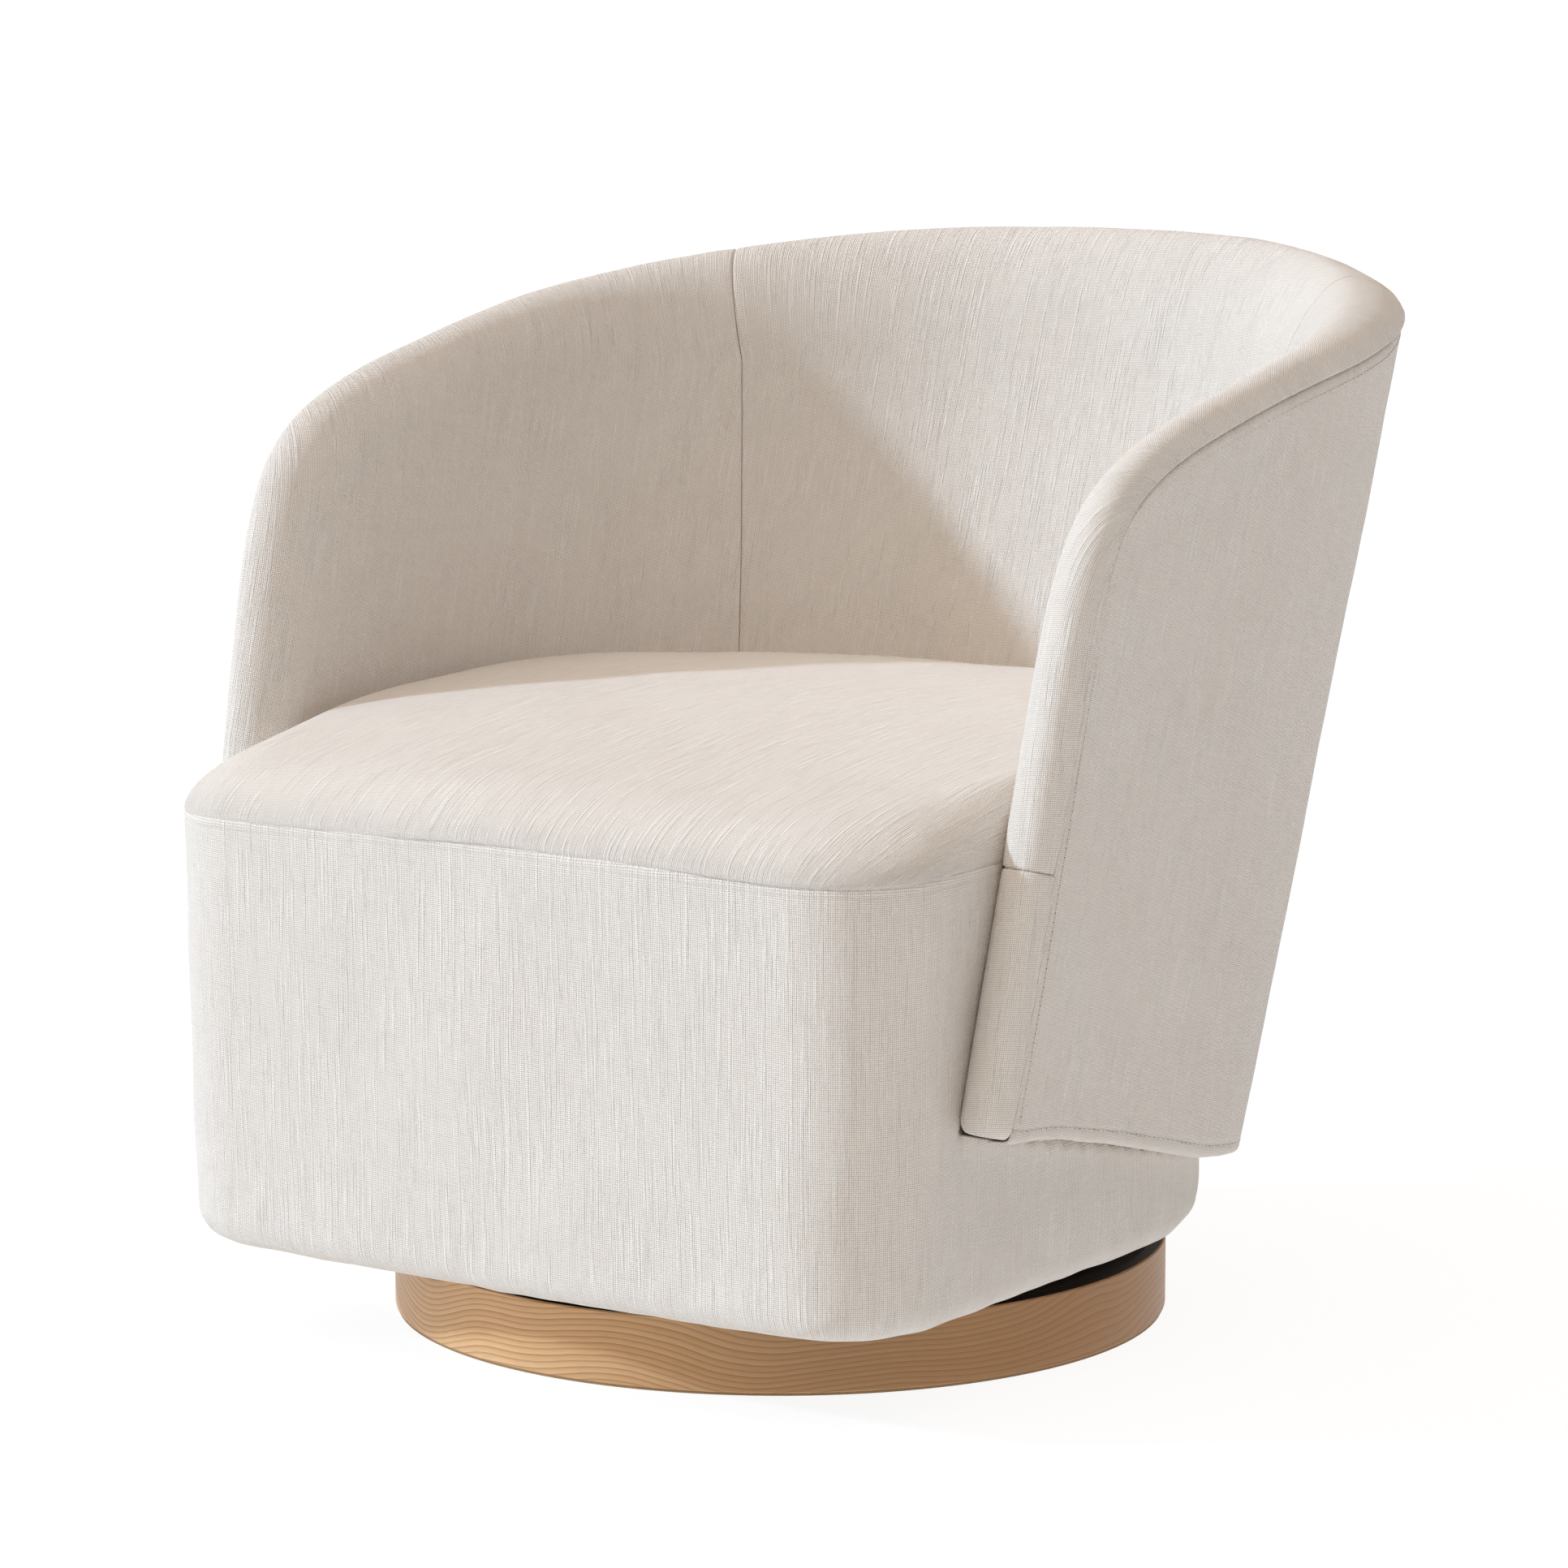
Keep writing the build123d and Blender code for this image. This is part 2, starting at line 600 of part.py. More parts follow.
def rounded_wall(inset):
    """The padded wall, drawn in by a distance. Its nose has five flats that touch a half circle."""
    wall = layer((inset, WALL - inset), inset, 0)
    flat = (WALL / 2 - inset) * ROUND_TO_FLAT
    return wall.chamfer(flat, None, [e for e in wall.edges() if on_side_line(e, inset)])


def with_bolt_holes(shape, radius=BOLT_R):
    for y, z in side_bolt_axes():
        shape -= bolt_hole(y, z, radius)
    return shape


def outside_back_seams(sign):
    """The arm's side of the upright seam between an arm and the back."""
    return Pos(sign * BACK_SEAM_X, 0, 0) * side(sign)


def between_back_seams():
    return Box(2 * BACK_SEAM_X, FAR, FAR)


def under_round_corner():
    """Everything under the plane where the arm's leaning front meets its round corner."""
    under = Box(FAR, FAR, FAR, align=(Align.CENTER, Align.CENTER, Align.MAX))
    return Pos(0, ARM_CORNER_Y, ARM_CORNER_Z) * Rot(-ARM_LEAN, 0, 0) * under


def post(x, y, turn):
    """A leaning upright stick at one place of the outline, square to the wall."""
    stick = Box(POST_REACH, POST_WIDTH, FAR)
    return lean(Pos(x, y, 0) * Rot(0, 0, turn) * stick)


def crown(inset):
    """Everything under the seat's crown, which curves more from front to back than across."""
    ring = Torus(CROWN_CROSSWISE_R - CROWN_LENGTHWISE_R, CROWN_LENGTHWISE_R - inset)
    return Pos(0, CROWN_CENTRE_Y, CROWN_TOP - CROWN_CROSSWISE_R) * Rot(90, 0, 0) * ring


def cushion(inset):
    """The seat's top: full width in front of the arms, then filling the barrel, with a crown."""
    low = SEAM_HEIGHT
    grow = (low - DRUM_BOTTOM) * tan(radians(DRUM_FLARE))
    blank = extrude(Pos(0, 0, low) * drum_outline(inset - grow, CUSHION_REAR), CROWN_TOP - low)
    blank = blank & crown(inset)
    rim = [e for e in blank.edges() if min(v.Z for v in e.vertices()) > low + PAST]
    blank = chamfer(rim, (CROWN_EDGE_R - inset) * ROUND_TO_FLAT)
    inside = blank & tub(WALL + LAYER_GAP + inset)
    in_front = blank - side_prism(-LAYER_GAP - inset)
    return inside + in_front


def side_posts(frame):
    """Posts that the barrel's bolts pass through, two on each side, with sunk bolt heads."""
    posts = []
    for sign in (-1, 1):
        for y, z in side_bolt_axes():
            tub_y = y * cos(radians(TUB_LEAN)) - (z - EDGE_HEIGHT) * sin(radians(TUB_LEAN))
            stick = frame & post(sign * HALF_WIDTH, tub_y, 0)
            stick -= bolt_hole(y, z)
            stick -= along_x(sign, BOLT_HEAD_X, FAR / 2, y, z, BOLT_HEAD_R + BOLT_HEAD_ROOM)
            posts.append(stick)
    return joined(posts)


def back_posts(frame):
    """Posts round the back, each square to the wall."""
    posts = []
    for turn in BACK_POST_ANGLES:
        x, y = HALF_WIDTH * cos(radians(turn)), BACK_DEPTH * sin(radians(turn))
        posts.append(frame & post(x, y, turn))
    return joined(posts)


def along_x(sign, low, high, y, z, radius):
    """Cylinder along X on one side of the chair, between two distances from its middle."""
    rod = Cylinder(radius, high - low, align=(Align.CENTER, Align.CENTER, Align.MIN))
    return Pos(sign * low, y, z) * Rot(0, sign * 90, 0) * rod


def nut_along_x(sign, low, high, y, z):
    """Hexagon nut on a bolt that runs along X."""
    nut = extrude(RegularPolygon(BOLT_NUT_ACROSS / 2, 6, major_radius=False), high - low)
    return Pos(sign * low, y, z) * Rot(0, sign * 90, 0) * nut


def barrel_bolts():
    """Bolts with sunk heads in the posts, and their nuts inside the seat box."""
    rail_inside = BOX_HALF_WIDTH - RAIL_THICK
    bolts, nuts = [], []
    for sign in (-1, 1):
        for y, z in side_bolt_axes():
            shank = along_x(sign, rail_inside - BOLT_NUT_THICK - THREAD_PAST_NUT, BOLT_HEAD_X, y, z, BOLT_R)
            head = along_x(sign, BOLT_HEAD_X, BOLT_HEAD_X + BOLT_HEAD_THICK, y, z, BOLT_HEAD_R)
            bolts.append(shank + head)
            nut = nut_along_x(sign, rail_inside - BOLT_NUT_THICK, rail_inside, y, z)
            nuts.append(nut - bolt_hole(y, z))
    return joined(bolts), joined(nuts)


def bolt_spacers():
    """Wood spacers that carry the bolts' pull through the soft padding."""
    inside_board = tub(INNER_BOARD[1] + LAYER_GAP)
    spacers = []
    for sign in (-1, 1):
        for y, z in side_bolt_axes():
            spacer = along_x(sign, BOX_HALF_WIDTH, HALF_WIDTH, y, z, SPACER_R - LAYER_GAP)
            spacers.append((spacer & inside_board) - bolt_hole(y, z))
    return joined(spacers)


def save_frame():
    """Barrel frame: a bent rail along the lower edge, one along the top, and posts between."""
    frame = layer(FRAME, FRAME_DEPTH, BOTTOM_RAIL[0])
    under_top_rail = side_prism(FRAME_DEPTH + TOP_RAIL_DEPTH)
    edge_band = (frame - under_top_rail) & above_edge(BOTTOM_RAIL[1])
    between_rails = frame & under_top_rail & above_edge(BOTTOM_RAIL[1])
    save(frame - above_edge(BOTTOM_RAIL[1]), "barrel_bottom_rail")
    save(edge_band - under_round_corner(), "barrel_top_rail")
    save(edge_band & under_round_corner(), "arm_front_posts")
    save(side_posts(between_rails), "barrel_side_posts")
    save(back_posts(between_rails), "barrel_back_posts")
    bolts, nuts = barrel_bolts()
    save(bolts, "barrel_bolts")
    save(nuts, "barrel_bolt_nuts")
    save(bolt_spacers(), "barrel_bolt_spacers")
    save(layer(OUTER_BOARD, FRAME_DEPTH, UNDERSIDE_THICK + LAYER_GAP), "barrel_outer_board")
    save(with_bolt_holes(layer(INNER_BOARD, FRAME_DEPTH, BOTTOM_RAIL[0])), "barrel_inner_board")


def save_upholstery():
    """Padding and covers of the barrel, from one wall with a round nose."""
    outer, inner = rounded_wall(0), rounded_wall(COVER_THICK)
    outer_zone = (tub(-PAST) - tub(OUTER_COVER[1] + LAYER_GAP / 2)) & side_prism(SEAM_DEPTH)
    lined = above_edge(UNDERSIDE_THICK + LAYER_GAP)

    skin = with_bolt_holes(outer - inner - outer_zone, SPACER_R)
    bands = (skin - side_prism(BAND_DEPTH)) & slab(-FAR, BAND_SEAM_Z)
    inner_skin = skin - bands
    save(inner_skin & between_back_seams(), "inner_back_cover")

    padding = with_bolt_holes(layer(INNER_PADDING, SEAM_DEPTH, UNDERSIDE_THICK + LAYER_GAP), SPACER_R)
    save(padding & between_back_seams(), "inner_back_padding")
    for sign, name in ((-1, "left"), (1, "right")):
        save(inner_skin & outside_back_seams(sign), f"inner_arm_cover_{name}")
        save(bands & side(sign), f"arm_front_band_{name}")
        save(padding & outside_back_seams(sign), f"inner_arm_padding_{name}")
    save((inner - side_prism(SEAM_DEPTH - LAYER_GAP)) & lined, "top_roll")
    save((inner - outer_zone) - above_edge(UNDERSIDE_THICK), "barrel_underside_strip")

    outer_cover = layer(OUTER_COVER, SEAM_DEPTH, 0)
    save(outer_cover & above_edge(HEM_BAND), "outer_cover")
    save(outer_cover - above_edge(HEM_BAND), "outer_hem_band")


def main():
    save(plinth_ring(), "plinth_ring")
    save(plinth_deck(), "plinth_deck")
    save(plinth_glue_blocks(), "plinth_glue_blocks")
    save(floor_felt_ring(), "floor_felt_ring")

    save(swivel_lower_plate(), "swivel_lower_plate")
    save(swivel_screws(), "swivel_lower_screws")
    save(swivel_kingpin(), "swivel_kingpin")
    save(swivel_pin_washer(), "swivel_pin_washer")
    save(swivel_pin_nut(), "swivel_pin_nut")
    save(ball_cage(), "ball_cage")
    save(bearing_balls(), "bearing_balls")
    save(swivel_upper_plate(), "swivel_upper_plate")
    save(swivel_upper_bolts(), "swivel_upper_bolts")
    save(swivel_tee_nuts(), "swivel_tee_nuts")

    rails = rail_ring()
    side_rails = rails & between_y(FRONT_RAIL_BACK, REAR_RAIL_FRONT)
    save(seat_base_board(), "seat_base_board")
    save(rails & between_y(-FAR, FRONT_RAIL_BACK), "seat_front_rail")
    save(side_rails & side(-1), "seat_side_rail_left")
    save(side_rails & side(1), "seat_side_rail_right")
    save(rails & between_y(REAR_RAIL_FRONT, FAR), "seat_rear_rail")
    save(seat_corner_blocks(), "seat_corner_blocks")
    save(webbing(True), "seat_webbing_lengthwise")
    save(webbing(False), "seat_webbing_crosswise")
    save(dust_cover(), "dust_cover")

    # The barrel wall has the right of way: the border and the cushion give way to it.
    wall_room = (tub(-LAYER_GAP) - tub(WALL + LAYER_GAP)) & side_prism(-LAYER_GAP)
    border_room = wall_room & above_edge(-LAYER_GAP)
    drum_inner = drum(COVER_THICK)
    padding = drum_inner - box_column(0, CROWN_TOP) - border_room
    save(with_bolt_holes(padding, SPACER_R), "seat_border_padding")
    border = drum(0) - drum_inner - box_column(0, BOX_BOTTOM, HEM_TURN) - border_room
    rear_cloth, border_cover = with_bolt_holes(border, SPACER_R).solids().sort_by(SortBy.VOLUME)
    save(border_cover, "seat_border_cover")
    save(rear_cloth, "seat_rear_cloth")

    save(box_column(FOAM_BASE_BOTTOM, SEAM_HEIGHT, LAYER_GAP), "seat_foam_base")
    foam = cushion(COVER_THICK)
    save(foam, "seat_foam")
    save(cushion(0) - foam, "seat_top_cover")

    save_frame()
    save_upholstery()


main()
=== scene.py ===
import sys
import json
import logging
from dataclasses import dataclass, field
from enum import Enum
from functools import cached_property
from math import atan2, cos, pi, radians, sin, sqrt, tan
from typing import Sequence

import bmesh
import bpy
import numpy as np
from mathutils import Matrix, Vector


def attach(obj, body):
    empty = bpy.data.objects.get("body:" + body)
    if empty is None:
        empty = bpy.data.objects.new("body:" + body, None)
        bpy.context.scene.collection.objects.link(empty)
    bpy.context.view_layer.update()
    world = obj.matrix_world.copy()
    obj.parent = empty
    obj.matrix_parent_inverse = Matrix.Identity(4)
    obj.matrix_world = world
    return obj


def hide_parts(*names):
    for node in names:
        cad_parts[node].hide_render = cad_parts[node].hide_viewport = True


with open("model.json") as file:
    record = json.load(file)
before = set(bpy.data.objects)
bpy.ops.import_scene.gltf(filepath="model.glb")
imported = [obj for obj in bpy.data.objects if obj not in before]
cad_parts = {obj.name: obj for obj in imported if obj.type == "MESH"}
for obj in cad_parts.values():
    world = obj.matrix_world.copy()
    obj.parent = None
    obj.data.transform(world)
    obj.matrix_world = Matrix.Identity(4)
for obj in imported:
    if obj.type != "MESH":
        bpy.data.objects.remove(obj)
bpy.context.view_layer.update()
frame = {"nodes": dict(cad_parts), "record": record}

# Looks of the swivel barrel chair. Sizes are in millimetres and turn to metres in MeshMaker.
# The sitter faces -Y, +Z is up and +X is on the right of someone who looks at the chair.

MM = 0.001
CLOTH_MAP = "cloth"
# Spacing of the first mesh rows beside a seam, where the cloth bends most.
SEAM_STEPS = np.array([0.0, 0.5, 1.1, 1.9, 3.0, 4.6, 7.0])
# Points this near to each other become one where two sheets meet.
WELD = 0.02
# The left arm's cloth is cut from another place, so that the arms don't show the same threads.
MIRROR_SHIFT = np.array([13.0, 5.0])
# How many points are compared with the side line at once, which keeps the tables small.
BATCH = 20000

Triple = tuple[float, float, float]

log = logging.getLogger("chair")


# ---- Small helpers ------------------------------------------------------------------------------
def smooth(x: np.ndarray, low: float, high: float) -> np.ndarray:
    """Rises smoothly from 0 at low to 1 at high."""
    t = np.clip((x - low) / (high - low), 0.0, 1.0)
    return t * t * (3 - 2 * t)


def unit(v: np.ndarray) -> np.ndarray:
    """Vectors along the last axis, made one long."""
    return v / np.maximum(np.linalg.norm(v, axis=-1, keepdims=True), 1e-12)


def turned(points: np.ndarray, degrees: float) -> np.ndarray:
    """Turns points about the X axis.

    Args:
        points: places along the last axis.
        degrees: how far they turn.

    Returns:
        The turned places.
    """
    a = radians(degrees)
    x, y, z = np.moveaxis(points, -1, 0)
    return np.stack([x, y * cos(a) - z * sin(a), y * sin(a) + z * cos(a)], -1)


def arc_lengths(points: np.ndarray) -> np.ndarray:
    """Distance along a polyline at each of its points."""
    steps = np.linalg.norm(np.diff(points, axis=0), axis=1)
    return np.concatenate([[0.0], np.cumsum(steps)])


def at_lengths(rows: np.ndarray, own: np.ndarray, lengths: np.ndarray) -> np.ndarray:
    """Rows along a polyline, of which own gives the distances, read at given distances."""
    return np.stack([np.interp(lengths, own, rows[:, i]) for i in range(rows.shape[1])], 1)


def bell(x: np.ndarray, at: float, width: float) -> np.ndarray:
    """A smooth bump of height 1 round a place."""
    return np.exp(-(((x - at) / width) ** 2))


def spread(length: float, step: float, tight_start: bool, tight_end: bool) -> np.ndarray:
    """Places along a length, a step apart, with closer ones beside a seam.

    Args:
        length: how far the places run.
        step: their usual spacing.
        tight_start: whether a seam lies at the start.
        tight_end: whether a seam lies at the end.

    Returns:
        Rising distances from 0 to length.
    """
    low = SEAM_STEPS if tight_start else SEAM_STEPS[:1]
    high = length - (SEAM_STEPS if tight_end else SEAM_STEPS[:1])[::-1]
    inner = np.linspace(low[-1], high[0], max(2, int(round((high[0] - low[-1]) / step)) + 1))
    return np.concatenate([low[:-1], inner, high[1:]])


class Waviness:
    """Smooth random hills, the same at each run, for the small unevenness of sewn cloth."""

    WAVES = 24
    # How much longer the usual wave is than the hills that the waves add up to.
    STRETCH = 2.4

    def __init__(self, seed: int, size: float) -> None:
        """Draws the waves.

        Args:
            seed: picks the hills.
            size: their usual width in mm.
        """
        rng = np.random.default_rng(seed)
        self.turns = rng.normal(0, 2 * pi / (size * self.STRETCH), (self.WAVES, 3))
        self.phases = rng.uniform(0, 2 * pi, self.WAVES)

    def __call__(self, points: np.ndarray) -> np.ndarray:
        """Height between about -1 and 1 at each point."""
        waves = np.sin(points @ self.turns.T + self.phases)
        return waves.sum(-1) / sqrt(len(self.phases))


@dataclass(frozen=True)
class Unevenness:
    """The slight waves of cloth over wadding: broad ones, with close ones a part as high."""

    seed: int
    height: float
    broad: float = 120.0
    close: float = 34.0
    close_share: float = 0.25

    def __call__(self, points: np.ndarray) -> np.ndarray:
        """Height of the cloth over its even place at each point."""
        broad, close = Waviness(self.seed, self.broad), Waviness(self.seed + 1, self.close)
        return self.height * broad(points) + self.close_share * self.height * close(points)


INNER_WAVES = Unevenness(seed=3, height=0.5)
OUTER_WAVES = Unevenness(seed=5, height=0.6)


# ---- Shapes of the barrel -----------------------------------------------------------------------
@dataclass(frozen=True)
class SideLine:
    """The arms and the top seen from the side: a leaning front, a soft round corner, a long arc.

    It lies a little inside the CAD's line at the round corner, as the padding is softer there.
    The corner is a curve whose ends pull along the front and along the arc.
    """

    lean: float = 13.2
    foot_z: float = 60.0
    start: tuple[float, float] = (-196.3, 498.1)
    start_pull: float = 159.0
    end: tuple[float, float] = (60.1, 709.1)
    end_pull: float = 202.3
    end_slope: float = 11.75
    arc_r: float = 5000.0
    arc_length: float = 640.0
    rows: int = 56

    @cached_property
    def drawn(self) -> np.ndarray:
        """Draws the line.

        Returns:
            Rows of y and z from the foot of the arm to the back.
        """
        lean, slope = radians(self.lean), radians(self.end_slope)
        up, along = np.array([sin(lean), cos(lean)]), np.array([cos(slope), sin(slope)])
        start, end = np.array(self.start), np.array(self.end)
        drop = (self.start[1] - self.foot_z) / cos(lean)
        front = start - np.linspace(drop, 0, self.rows, endpoint=False)[:, None] * up
        t = np.linspace(0, 1, self.rows)[:, None]
        pulls = (start, start + up * self.start_pull, end - along * self.end_pull, end)
        weights = ((1 - t) ** 3, 3 * (1 - t) ** 2 * t, 3 * (1 - t) * t**2, t**3)
        corner = sum(w * p for w, p in zip(weights, pulls))
        turns = slope - np.linspace(0, self.arc_length / self.arc_r, self.rows - 2)[1:]
        centre = end + self.arc_r * np.array([sin(slope), -cos(slope)])
        top = centre + self.arc_r * np.stack([-np.sin(turns), np.cos(turns)], 1)
        return np.concatenate([front, corner, top])

    @cached_property
    def inward(self) -> np.ndarray:
        """Direction into the padding at each row."""
        way = unit(np.gradient(self.drawn, axis=0))
        return np.stack([way[:, 1], -way[:, 0]], 1)

    def depth(self, points: np.ndarray) -> np.ndarray:
        """How far inside the line each point lies, in the side view.

        Args:
            points: places in the chair, in any number of rows.

        Returns:
            A distance for each, negative outside.
        """
        flat = points[..., 1:].reshape(-1, 2)
        found = np.empty(len(flat))
        for low in range(0, len(flat), BATCH):
            part = flat[low : low + BATCH]
            apart = part[:, None] - self.drawn[None]
            near = np.einsum("ijk,ijk->ij", apart, apart).argmin(1)
            step_in = part - self.drawn[near]
            found[low : low + BATCH] = np.einsum("ij,ij->i", step_in, self.inward[near])
        return found.reshape(points.shape[:-1])


@dataclass(frozen=True)
class Tub:
    """The barrel's faces.

    A place on one is s, along its outline from the middle of the back with +X positive, and h, up
    its leaning side; inset is how far the face lies inside the outer one. The wall is thinner at
    the arms than at the back, and each size that changes round it is given at the arm's front, at
    the rear corner and at the middle of the back. The outline is a shallow arc across the back, a
    tighter one round each corner, and a straight side.
    """

    lean: float = 16.27
    flare: float = 2.46
    edge_lean: float = 12.5
    edge_height: float = 156.0
    half_width: float = 359.0
    corner_r: float = 317.7
    back_r: float = 712.2
    back_depth: float = 302.5
    wall: Triple = (50.0, 84.0, 74.0)
    ridge_inset: Triple = (16.0, 42.0, 38.0)
    outer_roll: Triple = (19.0, 29.0, 29.0)
    inner_roll: Triple = (50.0, 78.0, 60.0)
    seam_depth: Triple = (20.5, 30.0, 30.0)
    stations: Triple = (620.0, 290.0, 0.0)
    # The sewn lower edge isn't straight: rows of s and how far it lies above its plane.
    edge_wave: tuple[tuple[float, float], ...] = (
        (0.0, 0.0), (380.0, 0.4), (440.0, -1.4), (504.0, -3.5), (570.0, -0.5), (629.0, 1.9),
        (668.0, 2.0), (706.0, 2.0), (731.0, 0.4), (758.0, -3.3), (787.0, -4.6), (813.0, -4.2),
    )
    line: SideLine = field(default_factory=SideLine)
    # How finely a rim is drawn, and the h between which it is looked for, by halving the gap.
    rim_points: int = 1400
    search: tuple[float, float] = (150.0, 800.0)
    halvings: int = 30

    def at(self, sizes: Triple, s: np.ndarray) -> np.ndarray:
        """Reads a size that changes round the barrel.

        Args:
            sizes: the size at each of the stations.
            s: where it is read.

        Returns:
            The size at each s.
        """
        front, corner, _ = self.stations
        a = np.abs(s)
        behind = sizes[2] + (sizes[1] - sizes[2]) * smooth(a, 0.0, corner)
        return behind + (sizes[0] - sizes[1]) * smooth(a, corner, front)

    @cached_property
    def corner(self) -> Triple:
        """Fits the corner arc between the back's arc and the side.

        Returns:
            Its centre's x and y, and the angle that it turns through.
        """
        x, back_y = self.half_width - self.corner_r, self.back_depth - self.back_r
        y = back_y + sqrt((self.back_r - self.corner_r) ** 2 - x**2)
        return x, y, atan2(y - back_y, x)

    @cached_property
    def back_length(self) -> float:
        """Half of the back arc's length."""
        return self.back_r * (pi / 2 - self.corner[2])

    @cached_property
    def side_start(self) -> float:
        """Where along the outline the straight side starts."""
        return self.back_length + self.corner_r * self.corner[2]

    def outline(self, s: np.ndarray) -> tuple[np.ndarray, np.ndarray, np.ndarray, np.ndarray]:
        """Draws the outline at h 0.

        Args:
            s: places along it.

        Returns:
            x, y and the outward direction's x and y at each.
        """
        cx, cy, turn = self.corner
        a = np.abs(s)
        back = pi / 2 - a / self.back_r
        round_turn = turn - (a - self.back_length) / self.corner_r
        angle = np.where(a <= self.back_length, back, np.clip(round_turn, 0, None))
        nx, ny = np.cos(angle), np.sin(angle)
        on_back = a <= self.back_length
        back_y = self.back_depth - self.back_r
        x = np.where(on_back, self.back_r * nx, cx + self.corner_r * nx)
        y = np.where(on_back, back_y + self.back_r * ny, cy + self.corner_r * ny)
        y = y - np.clip(a - self.side_start, 0, None)
        side = np.where(s < 0, -1.0, 1.0)
        return x * side, y, nx * side, ny

    def point(self, s: np.ndarray, h: np.ndarray, inset: np.ndarray | float) -> np.ndarray:
        """Places in the chair of points on a face.

        Args:
            s: along the outline.
            h: up the leaning side.
            inset: how far the face lies inside the outer one.

        Returns:
            x, y and z of each.
        """
        x, y, nx, ny = self.outline(s)
        out = h * tan(radians(self.flare)) - inset
        upright = np.stack([x + nx * out, y + ny * out, h + 0 * x], -1)
        return turned(upright, -self.lean) + np.array([0, 0, self.edge_height])

    def inner_point(self, s: np.ndarray, h: np.ndarray) -> np.ndarray:
        """Chair places of s and h on the inner face."""
        return self.point(s, h, self.at(self.wall, s))

    def normal(self, s: np.ndarray) -> np.ndarray:
        """The outward direction of a face.

        Args:
            s: along the outline.

        Returns:
            A direction one long for each.
        """
        _, _, nx, ny = self.outline(s)
        upright = np.stack([nx, ny, np.full_like(nx, -tan(radians(self.flare)))], -1)
        return turned(unit(upright), -self.lean)

    def above_edge(self, points: np.ndarray) -> np.ndarray:
        """Height over the plane of the barrel's lower edge."""
        return turned(points - np.array([0, 0, self.edge_height]), self.edge_lean)[..., 2]

    def where(self, points: np.ndarray) -> tuple[np.ndarray, np.ndarray]:
        """Finds places in the chair on the barrel's faces.

        Args:
            points: the places.

        Returns:
            The s of each, without its sign, and its inset.
        """
        upright = turned(points - np.array([0, 0, self.edge_height]), self.lean)
        x, y, h = np.moveaxis(upright, -1, 0)
        cx, cy, turn = self.corner
        ax, back_y = np.abs(x), self.back_depth - self.back_r
        back_turn = np.arctan2(y - back_y, ax)
        on_back, on_side = back_turn > turn, y <= cy
        round_turn = np.arctan2(y - cy, ax - cx)
        s = np.where(on_back, (pi / 2 - back_turn) * self.back_r,
                     self.back_length + (turn - round_turn) * self.corner_r)
        s = np.where(on_side, self.side_start + cy - y, s)
        out = np.where(on_back, np.hypot(ax, y - back_y) - self.back_r,
                       np.hypot(ax - cx, y - cy) - self.corner_r)
        out = np.where(on_side, ax - self.half_width, out)
        return s, h * tan(radians(self.flare)) - out

    def clearance(self, points: np.ndarray) -> np.ndarray:
        """Rough distance from the padded wall with its soft nose.

        Args:
            points: places in the chair.

        Returns:
            A distance for each, negative inside the padding.
        """
        s, inset = self.where(points)
        wall, ridge = self.at(self.wall, s), self.at(self.ridge_inset, s)
        outside = inset < ridge
        across = np.where(outside, (ridge - inset) / ridge, (inset - ridge) / (wall - ridge))
        roll = np.where(outside, self.at(self.outer_roll, s), self.at(self.inner_roll, s))
        short = (roll - self.line.depth(points)) / roll
        least = np.minimum(roll, np.where(outside, ridge, wall - ridge))
        nose = (np.hypot(across, short) - 1) * least
        flat = np.maximum(-inset, inset - wall)
        return np.maximum(np.where(short > 0, nose, flat), -self.above_edge(points))

    def edge_rise(self, s: np.ndarray) -> np.ndarray:
        """How far the sewn lower edge lies above its plane at s."""
        rows = np.array(self.edge_wave)
        return np.interp(np.abs(s), rows[:, 0], rows[:, 1])

    def height_of_edge(self, s: np.ndarray, inset: float, above: float) -> np.ndarray:
        """Finds a line that runs some way above the barrel's lower edge.

        Args:
            s: along the outline.
            inset: the face that the line lies on.
            above: how far it runs above the edge.

        Returns:
            The line's h at each s.
        """
        low, high = self.point(s, np.zeros_like(s), inset), self.point(s, np.ones_like(s), inset)
        start, stop = self.above_edge(low), self.above_edge(high)
        return (above + self.edge_rise(s) - start) / (stop - start)

    def rim(self, insets: Triple, depths: Triple) -> np.ndarray:
        """Draws half of a curve that runs inside the side line on one face.

        Args:
            insets: the face's inset at the stations.
            depths: how far inside the side line the curve lies there.

        Returns:
            Rows of s, h, x, y, z from the foot of the +X arm to the middle of the back.
        """
        line, inward = self.line.drawn, self.line.inward
        dense = np.linspace(0, len(line) - 1, self.rim_points)
        line = at_lengths(line, np.arange(len(line)), dense)
        inward = at_lengths(inward, np.arange(len(inward)), dense)
        s_side = np.full(len(line), self.stations[0])
        for _ in range(3):
            yz = line + inward * self.at(depths, s_side)[:, None]
            points = np.concatenate([np.zeros((len(yz), 1)), yz], 1)
            upright = turned(points - np.array([0, 0, self.edge_height]), self.lean)
            _, y, h = np.moveaxis(upright, -1, 0)
            s_side = self.side_start + self.corner[1] - y
        keep = y < self.corner[1]
        s_round = np.linspace(self.side_start, 0, self.rim_points // 2)
        inset, depth = self.at(insets, s_round), self.at(depths, s_round)
        low, high = (np.full(len(s_round), end) for end in self.search)
        for _ in range(self.halvings):
            middle = (low + high) / 2
            under = self.line.depth(self.point(s_round, middle, inset)) > depth
            low, high = np.where(under, middle, low), np.where(under, high, middle)
        s = np.concatenate([s_side[keep], s_round])
        h = np.concatenate([h[keep], (low + high) / 2])
        return np.concatenate([s[:, None], h[:, None], self.point(s, h, self.at(insets, s))], 1)


